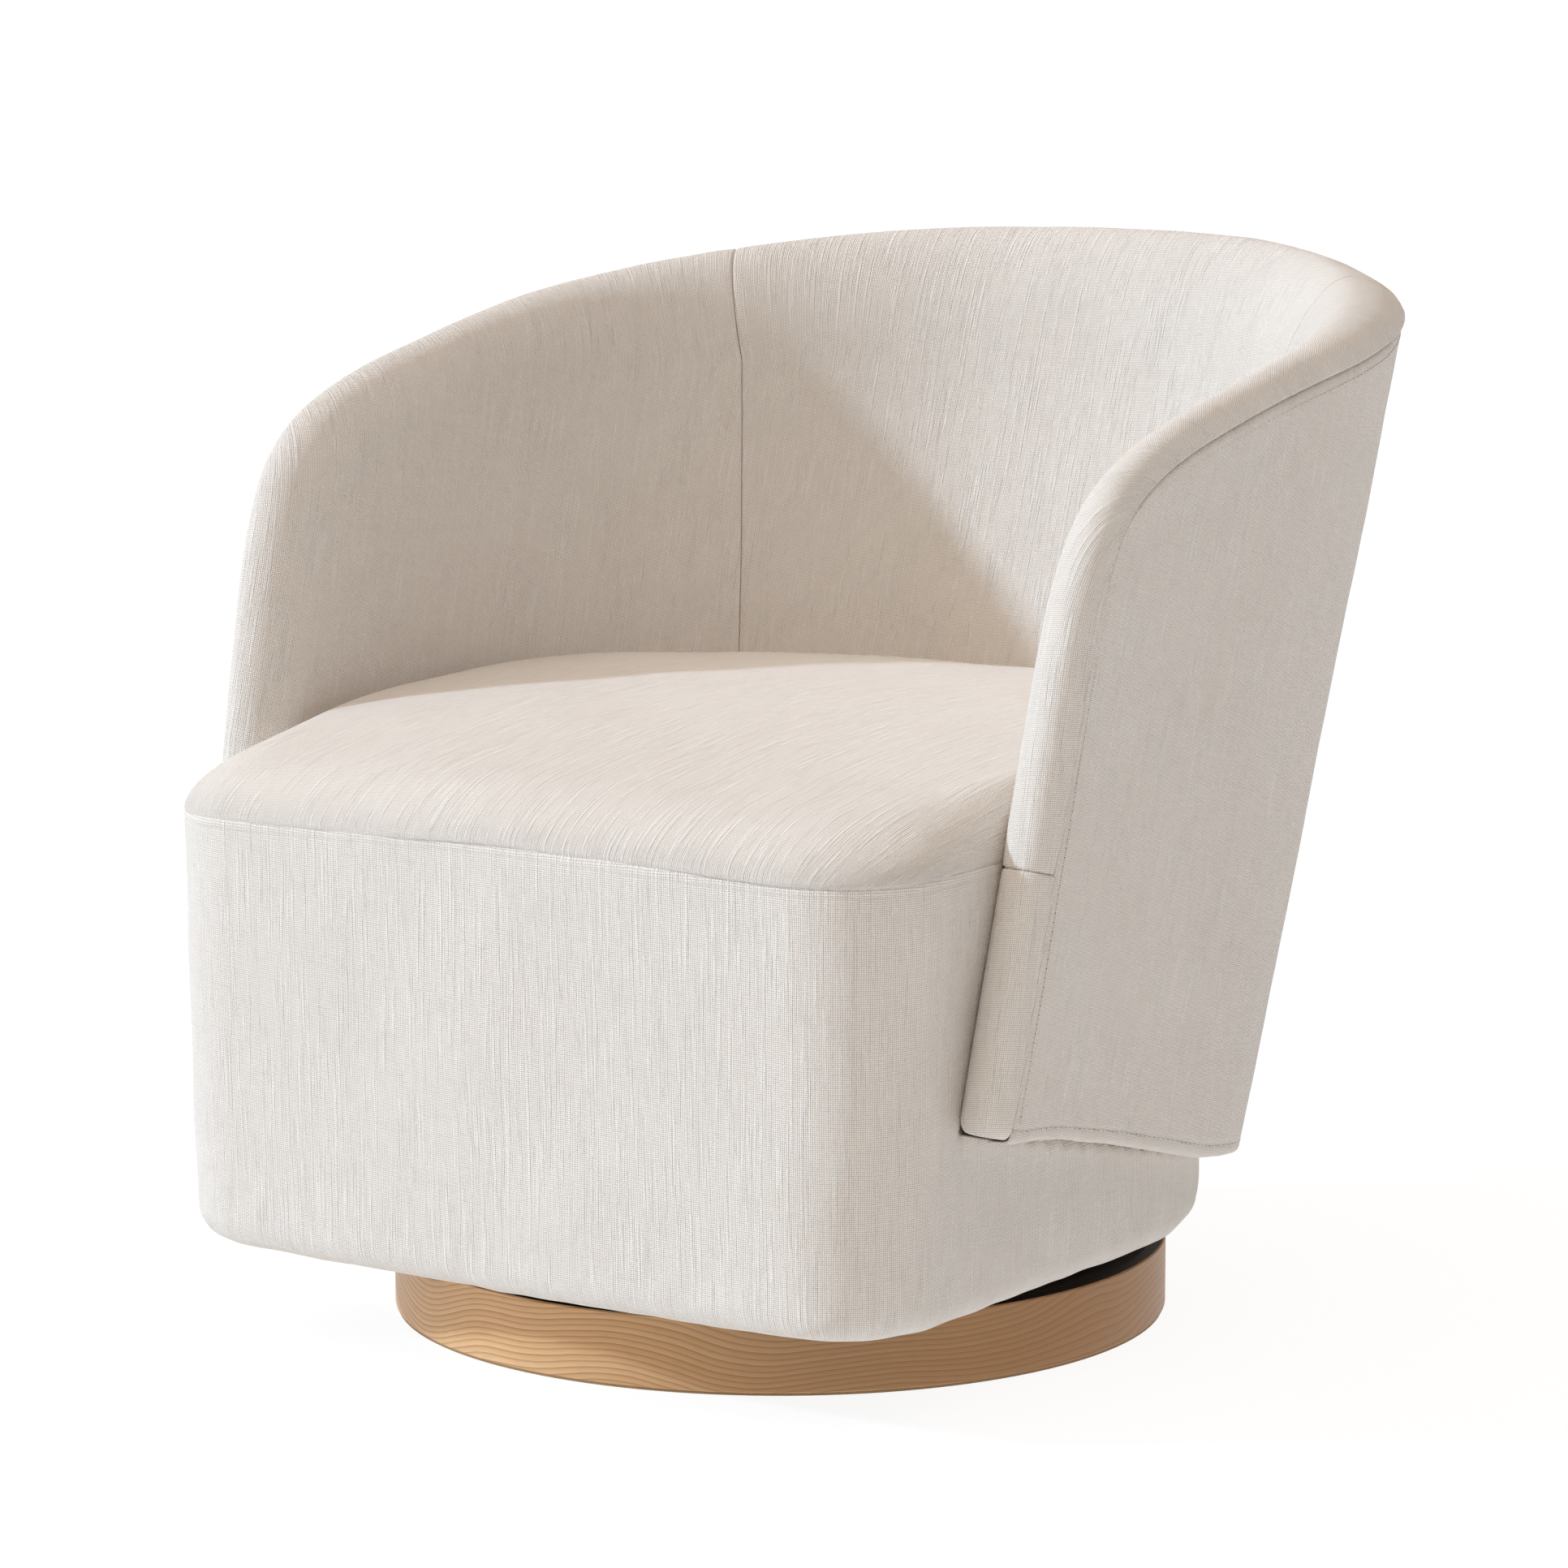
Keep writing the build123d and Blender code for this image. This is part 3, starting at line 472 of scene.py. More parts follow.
# ---- Meshes -------------------------------------------------------------------------------------
@dataclass
class Grid:
    """A sheet of points in rows and columns, with the place of each on the flat cloth in mm."""

    points: np.ndarray
    cloth: np.ndarray
    outward: np.ndarray

    def lifted(self, by: np.ndarray) -> "Grid":
        """The same sheet moved along its outward directions."""
        return Grid(self.points + self.outward * by[..., None], self.cloth, self.outward)

    def mirrored(self) -> "Grid":
        """Makes the same sheet for the other side of the chair.

        Returns:
            The new sheet, its columns turned round so that it faces the right way.
        """
        flip = np.array([-1.0, 1.0, 1.0])
        cloth = self.cloth * np.array([-1.0, 1.0]) + MIRROR_SHIFT
        return Grid(self.points[:, ::-1] * flip, cloth[:, ::-1], self.outward[:, ::-1] * flip)

    def doubled(self) -> "Grid":
        """Joins a sheet, whose last column is in the middle, to its mirror image.

        Returns:
            The whole sheet.
        """
        whole = []
        for rows in (self.points, self.cloth, self.outward):
            flip = np.ones(rows.shape[-1])
            flip[0] = -1
            whole.append(np.concatenate([rows, (rows * flip)[:, -2::-1]], 1))
        return Grid(*whole)


class MeshMaker:
    """Collects sheets and loose faces into one piece."""

    def __init__(self, name: str) -> None:
        """Starts a piece.

        Args:
            name: the piece's name.
        """
        self.name = name
        self.points: list[np.ndarray] = []
        self.cloth: list[np.ndarray] = []
        self.faces: list[np.ndarray] = []
        self.finish: list[np.ndarray] = []
        self.count = 0

    def add(self, points: np.ndarray, faces: np.ndarray, cloth: np.ndarray,
            finish: int = 0) -> None:
        """Adds faces of four corners.

        Args:
            points: their corners in mm.
            faces: four numbers of points for each.
            cloth: each point's place on the flat cloth in mm.
            finish: which of the piece's materials they take.
        """
        self.points.append(points)
        self.cloth.append(cloth)
        self.faces.append(faces + self.count)
        self.finish.append(np.full(len(faces), finish))
        self.count += len(points)

    def add_grid(self, grid: Grid, closed: bool = False) -> None:
        """Adds a sheet.

        Args:
            grid: the sheet.
            closed: whether its last column joins its first.
        """
        rows, cols = grid.points.shape[:2]
        index = np.arange(rows * cols).reshape(rows, cols)
        if closed:
            index = np.concatenate([index, index[:, :1]], 1)
        corners = (index[:-1, :-1], index[:-1, 1:], index[1:, 1:], index[1:, :-1])
        faces = np.stack([c.ravel() for c in corners], 1)
        self.add(grid.points.reshape(-1, 3), faces, grid.cloth.reshape(-1, 2))

    def build(self, finishes: Sequence[bpy.types.Material],
              thickness: float = 0.0) -> bpy.types.Object:
        """Makes the piece.

        Args:
            finishes: its materials, in the order that the faces name them.
            thickness: thickness of the cloth in mm, added behind the sheet, or 0 for a closed form.

        Returns:
            The new object.
        """
        points, cloth = np.concatenate(self.points) * MM, np.concatenate(self.cloth) * MM
        faces = np.concatenate(self.faces)
        mesh = bpy.data.meshes.new(self.name)
        mesh.from_pydata(points.tolist(), [], faces.tolist())
        spots = mesh.attributes.new(CLOTH_MAP, "FLOAT_VECTOR", "POINT")
        flat = np.concatenate([cloth, np.zeros((len(cloth), 1))], 1)
        spots.data.foreach_set("vector", flat.astype(np.float32).ravel())
        mesh.polygons.foreach_set("material_index", np.concatenate(self.finish).astype(np.int32))
        mesh.polygons.foreach_set("use_smooth", np.ones(len(faces), bool))
        for material in finishes:
            mesh.materials.append(material)
        self._weld(mesh)
        piece = bpy.data.objects.new(self.name, mesh)
        bpy.context.scene.collection.objects.link(piece)
        if thickness:
            backing = piece.modifiers.new("backing", "SOLIDIFY")
            backing.thickness = thickness * MM
            backing.offset = -1.0
        return piece

    @staticmethod
    def _weld(mesh: bpy.types.Mesh) -> None:
        """Joins points that lie on each other, so that sheets side by side become one.

        Args:
            mesh: the mesh, which is changed.
        """
        work = bmesh.new()
        work.from_mesh(mesh)
        bmesh.ops.remove_doubles(work, verts=work.verts, dist=WELD * MM)
        work.to_mesh(mesh)
        work.free()


def coons(bottom: np.ndarray, top: np.ndarray, left: np.ndarray,
          right: np.ndarray) -> np.ndarray:
    """Fills a four-sided outline smoothly.

    Args:
        bottom: the lower side from left to right, as rows of two numbers.
        top: the upper side, with as many rows.
        left: the left side from bottom to top.
        right: the right side, with as many rows as the left.

    Returns:
        Rows of places from bottom to top, each from left to right.
    """
    u = arc_lengths(top)[None, :, None]
    v = arc_lengths(left)[:, None, None]
    u, v = u / u[0, -1, 0], v / v[-1, 0, 0]
    across = (1 - u) * left[:, None] + u * right[:, None]
    up = (1 - v) * bottom[None] + v * top[None]
    low = (1 - u) * bottom[0] + u * bottom[-1]
    high = (1 - u) * top[0] + u * top[-1]
    return across + up - (1 - v) * low - v * high


def face_outwards(piece: bpy.types.Object, sheet: Grid) -> None:
    """Turns a piece's faces so that they all look the way its sheet does.

    Args:
        piece: the piece, whose mesh is changed.
        sheet: the sheet that it was made from, or the first of them.
    """
    work = bmesh.new()
    work.from_mesh(piece.data)
    bmesh.ops.recalc_face_normals(work, faces=work.faces)
    row, col = sheet.points.shape[0] // 2, sheet.points.shape[1] // 2
    spot = Vector(sheet.points[row, col] * MM)
    near = min(work.verts, key=lambda v: (v.co - spot).length)
    if near.normal.dot(Vector(sheet.outward[row, col])) < 0:
        bmesh.ops.reverse_faces(work, faces=work.faces)
    work.to_mesh(piece.data)
    work.free()


# ---- Finishes -----------------------------------------------------------------------------------
def linear(hex_colour: str) -> tuple[float, float, float, float]:
    """Turns an sRGB hex colour linear.

    Args:
        hex_colour: the colour, such as #ffffff.

    Returns:
        Red, green and blue from 0 to 1, and 1 for opaque.
    """
    parts = [int(hex_colour.lstrip("#")[i : i + 2], 16) / 255 for i in (0, 2, 4)]
    low = [p / 12.92 if p <= 0.04045 else ((p + 0.055) / 1.055) ** 2.4 for p in parts]
    return low[0], low[1], low[2], 1.0


def per_metre(*sizes_mm: float) -> Triple:
    """How often each size fits in a metre, for a pattern; a third size that isn't given is 1 m."""
    times = [1 / (size * MM) for size in sizes_mm] + [1.0] * 3
    return times[0], times[1], times[2]


class Tree:
    """The nodes of a material or of the surround."""

    def __init__(self, owner: bpy.types.Material | bpy.types.World) -> None:
        """Starts the nodes.

        Args:
            owner: the material or surround that they belong to.
        """
        owner.use_nodes = True
        self.owner = owner
        self.nodes, self.links = owner.node_tree.nodes, owner.node_tree.links

    def node(self, kind: str, settings: dict[str, object] | None = None,
             **inputs: object) -> bpy.types.Node:
        """Adds a node. In a Mix of two colours they are _6 and _7, and output 2 is the result.

        Args:
            kind: the node's type, without ShaderNode.
            settings: its own properties.
            inputs: as in join.

        Returns:
            The node.
        """
        made = self.nodes.new("ShaderNode" + kind)
        for key, value in (settings or {}).items():
            setattr(made, key, value)
        return self.join(made, **inputs)

    def join(self, made: bpy.types.Node, **inputs: object) -> bpy.types.Node:
        """Fills a node's inputs.

        Args:
            made: the node.
            inputs: for each input, named by its label with _ for a space or by _ and its number, a
                value, another node's output, or a node whose first output is meant.

        Returns:
            The same node.
        """
        for key, value in inputs.items():
            label = int(key[1:]) if key[1:].isdigit() else key.replace("_", " ")
            socket = made.inputs[label]
            if isinstance(value, bpy.types.Node):
                value = value.outputs[0]
            if isinstance(value, bpy.types.NodeSocket):
                self.links.new(value, socket)
            else:
                socket.default_value = value
        return made

    def surface(self, **inputs: object) -> bpy.types.Material:
        """Fills the inputs of the surface shader, as join does, and gives the material."""
        self.join(self.nodes["Principled BSDF"], **inputs)
        return self.owner


# Settings of the nodes that are used most.
ADD, SUBTRACT, TIMES, POWER, SCALE, SINE, FLOOR, FRACT = (
    {"operation": name}
    for name in ("ADD", "SUBTRACT", "MULTIPLY", "POWER", "SCALE", "SINE", "FLOOR", "FRACT")
)
COLOURS = {"data_type": "RGBA"}


@dataclass(frozen=True)
class BasketWeave:
    """Linen-look polyester basket weave: matt threads over and under each other, uneven in
    thickness, so that short vertical slubs catch the light and the surface never looks flat."""

    name: str = "linen_look_basket_weave"
    slot: str = "upholstery"
    thread: str = "#fffcf8"
    shaded_thread: str = "#f4ece5"
    # Colour of the gaps between the threads: painted shade.
    gap: str = "#cbbcab"
    # The thick threads are 1.45 mm apart, so their bumps lie 2.9 mm apart in staggered rows.
    pitch_mm: float = 1.45
    relief_mm: float = 0.55
    # Threads wander sideways by about half of drift_mm, in waves as long as wander_mm.
    drift_mm: float = 1.1
    wander_mm: float = 18.182
    # Slubs: width and length of the upright ones, then length and width of the fewer crosswise
    # ones. Both are drawn a little coarser than real, so that they show.
    slub_mm: tuple[float, float] = (2.32558, 76.9231)
    cross_slub_mm: tuple[float, float] = (45.4545, 1.785714)
    fuzz_mm: float = 0.416667
    cloud_mm: float = 111.111
    roughness: float = 0.92
    sheen: float = 0.12

    def build(self) -> bpy.types.Material:
        """Makes the material.

        Returns:
            The material.
        """
        tree = Tree(bpy.data.materials.new(self.name))
        node = tree.node
        cloth = node("Attribute", {"attribute_name": CLOTH_MAP}).outputs["Vector"]
        wander = per_metre(self.wander_mm)[0]
        drift = node("TexNoise", Vector=cloth, Scale=wander, Detail=2.0).outputs["Color"]
        centred = node("VectorMath", SUBTRACT, _0=drift, _1=(0.5, 0.5, 0.5))
        bend = node("VectorMath", SCALE, _0=centred, Scale=self.drift_mm * MM)
        bent = node("VectorMath", ADD, _0=cloth, _1=bend)
        counted = node("VectorMath", SCALE, _0=bent, Scale=1 / (self.pitch_mm * MM))
        split = node("SeparateXYZ", Vector=counted)

        humps, cells = [], []
        for axis in "XY":
            along = split.outputs[axis]
            wave = node("Math", SINE, _0=node("Math", TIMES, _0=along, _1=pi))
            humps.append(node("Math", {"operation": "ABSOLUTE"}, _0=wave))
            cells.append(node("Math", FLOOR, _0=along))
        both = node("Math", ADD, _0=cells[0], _1=cells[1])
        warp_on_top = node("Math", {"operation": "PINGPONG"}, _0=both, _1=1.0)
        weft_on_top = node("Math", SUBTRACT, _0=1.0, _1=warp_on_top)
        threads = []
        for on_top, across, along in ((warp_on_top, *humps), (weft_on_top, *humps[::-1])):
            ends = node("Math", POWER, _0=along, _1=0.5)
            bump = node("Math", TIMES, _0=across, _1=ends)
            threads.append(node("Math", TIMES, _0=on_top, _1=bump))
        weft = node("Math", TIMES, _0=threads[1], _1=0.8)
        weave = node("Math", ADD, _0=threads[0], _1=weft)

        slubs = []
        upright, crosswise = (self.slub_mm, 3.0, 0.5, 0.68), (self.cross_slub_mm, 2.0, 0.55, 0.8)
        for size, detail, low, high in (upright, crosswise):
            stretched = node("VectorMath", TIMES, _0=cloth, _1=per_metre(*size))
            noise = node("TexNoise", Vector=stretched, Scale=1.0, Detail=detail).outputs["Fac"]
            slubs.append(node("MapRange", Value=noise, From_Min=low, From_Max=high))
        fuzz = node("TexNoise", Vector=cloth, Scale=per_metre(self.fuzz_mm)[0], Detail=1.0)
        relief = weave
        for layer, share in ((slubs[0], 1.3), (slubs[1], 0.3), (fuzz.outputs["Fac"], 0.25)):
            relief = node("Math", ADD, _0=relief, _1=node("Math", TIMES, _0=layer, _1=share))
        bump = node("Bump", Strength=0.9, Distance=self.relief_mm * MM, Height=relief)

        cloud = node("TexNoise", Vector=cloth, Scale=per_metre(self.cloud_mm)[0], Detail=3.0)
        # The weave's share paints the tops of the threads lighter: painted highlight. Slubs and the
        # broad cloud give the thread's own uneven tone.
        tone = node("Math", TIMES, _0=weave, _1=0.4)
        for layer, share in ((slubs[0], 0.6), (cloud.outputs["Fac"], 0.5)):
            tone = node("Math", ADD, _0=tone, _1=node("Math", TIMES, _0=layer, _1=share))
        lit, shaded = linear(self.thread), linear(self.shaded_thread)
        colour = node("Mix", COLOURS, Factor=tone, _6=shaded, _7=lit)
        # Where the weave is low, between the threads, the colour turns to the gap colour: painted
        # shade.
        clear_of_gap_shade = node("MapRange", Value=weave, From_Min=0.02, From_Max=0.42)
        whole = node("Mix", COLOURS, Factor=clear_of_gap_shade, _6=linear(self.gap), _7=colour.outputs[2])
        return tree.surface(
            Base_Color=whole.outputs[2], Normal=bump, Roughness=self.roughness,
            Sheen_Weight=self.sheen, Sheen_Roughness=0.5, Specular_IOR_Level=0.25,
        )


@dataclass(frozen=True)
class BentOak:
    """Oak veneer bent round the plinth under satin lacquer: long arched growth rings with thin dark
    lines, fine pores along them, painted shade toward +X and on the ring's flat top, and a soft
    highlight."""

    name: str = "bent_oak_satin_lacquer"
    slot: str = "plinth_wood"
    pale: str = "#e9c093"
    dark: str = "#cf9a60"
    line: str = "#8f6236"
    # Colour of the ring's flat top: painted shade, as dark as the deck.
    top: str = "#2a1f17"
    ring_mm: float = 5.0
    # A pore's width and length; the width is drawn coarser than real, so that it shows.
    pore_mm: tuple[float, float] = (0.5, 18.18182)
    pore_relief_mm: float = 0.2
    radius_mm: float = 290.0
    # The rings rise and fall in arches this wide and high, and waver over a shorter way.
    arch_mm: tuple[float, float] = (250.0, 110.0)
    waver_mm: float = 45.4545
    # Between these places in X the sheet is painted darker toward +X, in part up to the dark lines'
    # colour: painted shade for the side that gets less light.
    painted_shade_mm: tuple[float, float] = (-50.0, 280.0)
    painted_shade_share: float = 0.75
    roughness: float = 0.42

    def build(self) -> bpy.types.Material:
        """Makes the material.

        Returns:
            The material.
        """
        tree = Tree(bpy.data.materials.new(self.name))
        node, line = tree.node, linear(self.line)
        x, y, z = node("SeparateXYZ", Vector=node("TexCoord").outputs["Object"]).outputs
        turn = node("Math", {"operation": "ARCTAN2"}, _0=y, _1=x)
        around = node("Math", TIMES, _0=turn, _1=self.radius_mm * MM)
        wrapped = node("CombineXYZ", X=around, Y=z)
        waves = [
            node("TexNoise", Vector=wrapped, Scale=per_metre(size)[0], Detail=1.0).outputs["Fac"]
            for size in (self.arch_mm[0], self.waver_mm)
        ]
        arch = node("Math", TIMES, _0=waves[0], _1=self.arch_mm[1] * MM)
        height = node("Math", ADD, _0=z, _1=arch)
        even = node("Math", TIMES, _0=height, _1=per_metre(self.ring_mm)[0])
        rings = node("Math", ADD, _0=even, _1=node("Math", TIMES, _0=waves[1], _1=0.5))
        within = node("Math", FRACT, _0=rings)
        own = node("TexWhiteNoise", {"noise_dimensions": "1D"}, W=node("Math", FLOOR, _0=rings))
        share = node("Math", ADD, _0=node("Math", TIMES, _0=within, _1=0.55),
                     _1=node("Math", TIMES, _0=own, _1=0.35))
        colour = node("Mix", COLOURS, Factor=share, _6=linear(self.pale), _7=linear(self.dark))

        width, length = (per_metre(size)[0] for size in self.pore_mm)
        fine = node("CombineXYZ", X=node("Math", TIMES, _0=around, _1=length),
                    Y=node("Math", TIMES, _0=height, _1=width))
        pores = node("TexNoise", Vector=fine, Scale=1.0, Detail=2.0).outputs["Fac"]
        low, high = (place * MM for place in self.painted_shade_mm)
        # The last of these darkens the wood toward +X: painted shade.
        for mask, start, stop, most in (
            (within, 0.6, 0.97, 0.45), (pores, 0.55, 0.8, 0.45), (x, low, high, self.painted_shade_share),
        ):
            ramp = node("MapRange", Value=mask, From_Min=start, From_Max=stop, To_Max=most)
            colour = node("Mix", COLOURS, Factor=ramp, _6=colour.outputs[2], _7=line)
        # The ring's flat top takes the deck's dark brown: painted shade for the shadow under the
        # seat.
        up = node("SeparateXYZ", Vector=node("NewGeometry").outputs["Normal"]).outputs["Z"]
        flat = node("MapRange", Value=up, From_Min=0.85, From_Max=0.95)
        painted = node("Mix", COLOURS, Factor=flat, _6=colour.outputs[2], _7=linear(self.top))
        bump = node("Bump", Strength=0.35, Distance=self.pore_relief_mm * MM, Height=pores)
        return tree.surface(
            Base_Color=painted.outputs[2], Normal=bump, Roughness=self.roughness,
            Specular_IOR_Level=0.4,
        )


@dataclass(frozen=True)
class Grained:
    """A finish of one colour broken up by grain of a real size, for the parts that show little."""

    name: str
    slot: str
    light: str
    dark: str
    grain_mm: float
    stretch: Triple = (1.0, 1.0, 1.0)
    roughness: float = 0.6
    metallic: float = 0.0
    relief_mm: float = 0.05

    def build(self) -> bpy.types.Material:
        """Makes the material.

        Returns:
            The material.
        """
        tree = Tree(bpy.data.materials.new(self.name))
        node, scale = tree.node, per_metre(self.grain_mm)[0]
        scaled = node("VectorMath", TIMES, _0=node("TexCoord").outputs["Object"], _1=self.stretch)
        grain = node("TexNoise", Vector=scaled, Scale=scale, Detail=3.0).outputs["Fac"]
        share = node("MapRange", Value=grain, From_Min=0.35, From_Max=0.65)
        colour = node("Mix", COLOURS, Factor=share, _6=linear(self.dark), _7=linear(self.light))
        bump = node("Bump", Strength=0.5, Distance=self.relief_mm * MM, Height=grain)
        return tree.surface(
            Base_Color=colour.outputs[2], Normal=bump, Roughness=self.roughness,
            Metallic=self.metallic,
        )


class Finish(Enum):
    """Every finish of the chair."""

    WEAVE = BasketWeave()
    OAK = BentOak()
    # Spun polyester thread a little darker than the cloth, with a faint shine.
    THREAD = Grained("spun_polyester_thread", "upholstery", "#e9e2d6", "#cfc5b5", 0.4,
                     roughness=0.7)
    # A needle hole shows as a small shadow between two stitches.
    HOLE = Grained("needle_hole_shadow", "upholstery", "#6d6357", "#5a5146", 0.5, roughness=1.0)
    # Birch plywood in dark brown: dull, with a faint grain.
    DECK = Grained("dark_brown_plywood", "deck_paint", "#2c2119", "#1f1712", 3.0,
                   (1, 12, 1), 0.75)
    # Sawn birch plywood and pine: pale, with long soft streaks.
    FRAME = Grained("sawn_birch_and_pine", "frame_wood", "#cdb38a", "#a98c62", 2.5,
                    (0.15, 1, 1), 0.7)
    # Tempered hardboard: smooth brown with fine fibres.
    BOARD = Grained("tempered_hardboard", "panel_board", "#6e5238", "#57402b", 1.5, roughness=0.65)
    # Pressed wool felt in natural brown with short fibres, so that it hides under the wood.
    FELT = Grained("pressed_wool_felt", "felt", "#a98a66", "#8b6e4f", 0.8,
                   roughness=1.0, relief_mm=0.2)
    # Moulded polyamide washer: milky and slightly waxy.
    NYLON = Grained("moulded_polyamide", "glide_nylon", "#dcdad2", "#cbc9c0", 4.0, roughness=0.45)
    # Moulded black acetal cage: dark and smooth.
    CAGE = Grained("moulded_black_acetal", "cage_plastic", "#1c1c1c", "#121212", 3.0, roughness=0.4)
    # Pressed steel, blackened by phosphating: dark grey and dull.
    PLATE = Grained("phosphated_steel", "swivel_steel", "#3a3a39", "#2a2a2a", 2.0,
                    roughness=0.5, metallic=1.0)
    # Bright zinc plating: pale grey, slightly cloudy.
    ZINC = Grained("bright_zinc_plating", "fastener_steel", "#c9cbcc", "#a6a9ab", 3.0,
                   roughness=0.3, metallic=1.0)
    # Polished bearing steel: a sharp mirror, hardly clouded.
    BALL = Grained("polished_bearing_steel", "ball_steel", "#d8d9da", "#c3c5c7", 5.0,
                   roughness=0.12, metallic=1.0)
    # Polypropylene webbing: flat ribs across the strap.
    WEBBING = Grained("polypropylene_webbing", "webbing", "#6b6255", "#4d463c", 1.2,
                      (0.3, 1, 1), 0.8)
    # Bonded black cloth under the seat: fluffy and without a shine.
    DUST = Grained("bonded_polypropylene_cloth", "dust_cloth", "#191817", "#0e0d0d", 1.0,
                   roughness=0.95)
    # Plain cotton lining cloth: dull, with a fine fleck.
    LINING = Grained("cotton_lining_cloth", "lining", "#cfc7b8", "#b8af9f", 1.0, roughness=0.95)

    def material(self) -> bpy.types.Material:
        """This finish's material, made once."""
        return bpy.data.materials.get(self.value.name) or self.value.build()


# ---- Placing ------------------------------------------------------------------------------------
def place(piece: bpy.types.Object, finish: Finish, nodes: Sequence[str] = ()) -> None:
    """Puts a piece on the seat body and hides the CAD nodes that it stands for.

    Args:
        piece: the new piece.
        finish: what it is made of; not used.
        nodes: the soft CAD nodes that it replaces.
    """
    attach(piece, "seat")
    if nodes:
        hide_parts(*nodes)
    log.info("%s on seat, %d points", piece.name, len(piece.data.vertices))


# ---- Stitches -----------------------------------------------------------------------------------
@dataclass(frozen=True)
class Bead:
    """A rounded bead along the cloth; rise is how far its middle arches out."""

    length: float
    radius: float
    rise: float
    finish: int
    # Shares of half the length and of the radius, from one end to the other, and sides round it.
    reach: tuple[float, ...] = (-1.0, -0.85, -0.5, 0.0, 0.5, 0.85, 1.0)
    thick: tuple[float, ...] = (0.15, 0.65, 1.0, 1.0, 1.0, 0.65, 0.15)
    sides: int = 6

    def add_to(self, maker: MeshMaker, spots: np.ndarray) -> None:
        """Adds a bead at each spot.

        Args:
            maker: the piece that gets them.
            spots: rows of a place, the cloth's outward direction, and the direction along.
        """
        centre, out, along = spots[:, :3], unit(spots[:, 3:6]), unit(spots[:, 6:])
        aside = np.cross(out, along)
        turns = np.linspace(0, 2 * pi, self.sides, endpoint=False)
        rings = []
        for u, share in zip(self.reach, self.thick):
            r = share * self.radius
            spine = centre + along * (u * self.length / 2) + out * (self.rise * (1 - 2 * u * u))
            for a in turns:
                rings.append(spine + out * (r * cos(a)) + aside * (r * sin(a)))
        points = np.stack(rings, 1).reshape(-1, 3)
        count = len(self.reach)
        ring, side = np.meshgrid(np.arange(count - 1), np.arange(self.sides), indexing="ij")
        low, high, after = ring * self.sides, (ring + 1) * self.sides, (side + 1) % self.sides
        one = np.stack([low + side, high + side, high + after, low + after], -1).reshape(1, -1, 4)
        faces = one + (np.arange(len(spots)) * count * self.sides)[:, None, None]
        maker.add(points, faces.reshape(-1, 4), points[:, :2], self.finish)


@dataclass(frozen=True)
class Stitching:
    """A row of topstitches: short threads that dip into a needle hole at each end."""

    pitch: float = 6.4
    thread: Bead = Bead(5.4, 0.42, 0.30, 0)
    hole: Bead = Bead(1.1, 0.42, -0.08, 1)

    def add_to(self, maker: MeshMaker, line: np.ndarray, outward: np.ndarray) -> None:
        """Adds a row along a line.

        Args:
            maker: the piece that gets the stitches.
            line: rows of places on the cloth.
            outward: the cloth's outward direction at each.
        """
        own = arc_lengths(line)
        count = int(own[-1] / self.pitch)
        way = unit(np.gradient(line, own, axis=0))
        whole = np.concatenate([line, outward, way], 1)
        middles = (np.arange(count) + 0.5) * own[-1] / count
        holes = np.arange(1, count) * own[-1] / count
        self.thread.add_to(maker, at_lengths(whole, own, middles))
        self.hole.add_to(maker, at_lengths(whole, own, holes))

    def build(self, name: str, rows: Sequence[tuple[np.ndarray, np.ndarray]]) -> None:
        """Makes a piece of several rows.

        Args:
            name: the piece's name.
            rows: a line and its outward directions for each.
        """
        maker = MeshMaker(name)
        for line, outward in rows:
            self.add_to(maker, line, outward)
        place(maker.build([Finish.THREAD.material(), Finish.HOLE.material()]), Finish.THREAD)


# ---- The barrel ---------------------------------------------------------------------------------
@dataclass(frozen=True)
class Crease:
    """How cloth is drawn in beside a seam: a sharp line at the seam, then a soft slope."""

    sharp: float
    sharp_width: float
    soft: float
    soft_width: float

    def __call__(self, gap: np.ndarray) -> np.ndarray:
        """How far the cloth lies below its even place at each distance from the seam."""
        sharp = -self.sharp * bell(gap, 0.0, self.sharp_width)
        return sharp - self.soft * np.exp(-gap / self.soft_width)


PLAIN_SEAM = Crease(1.7, 0.9, 0.7, 4.0)
OUTER_SEAM = Crease(2.4, 1.1, 0.6, 9.0)


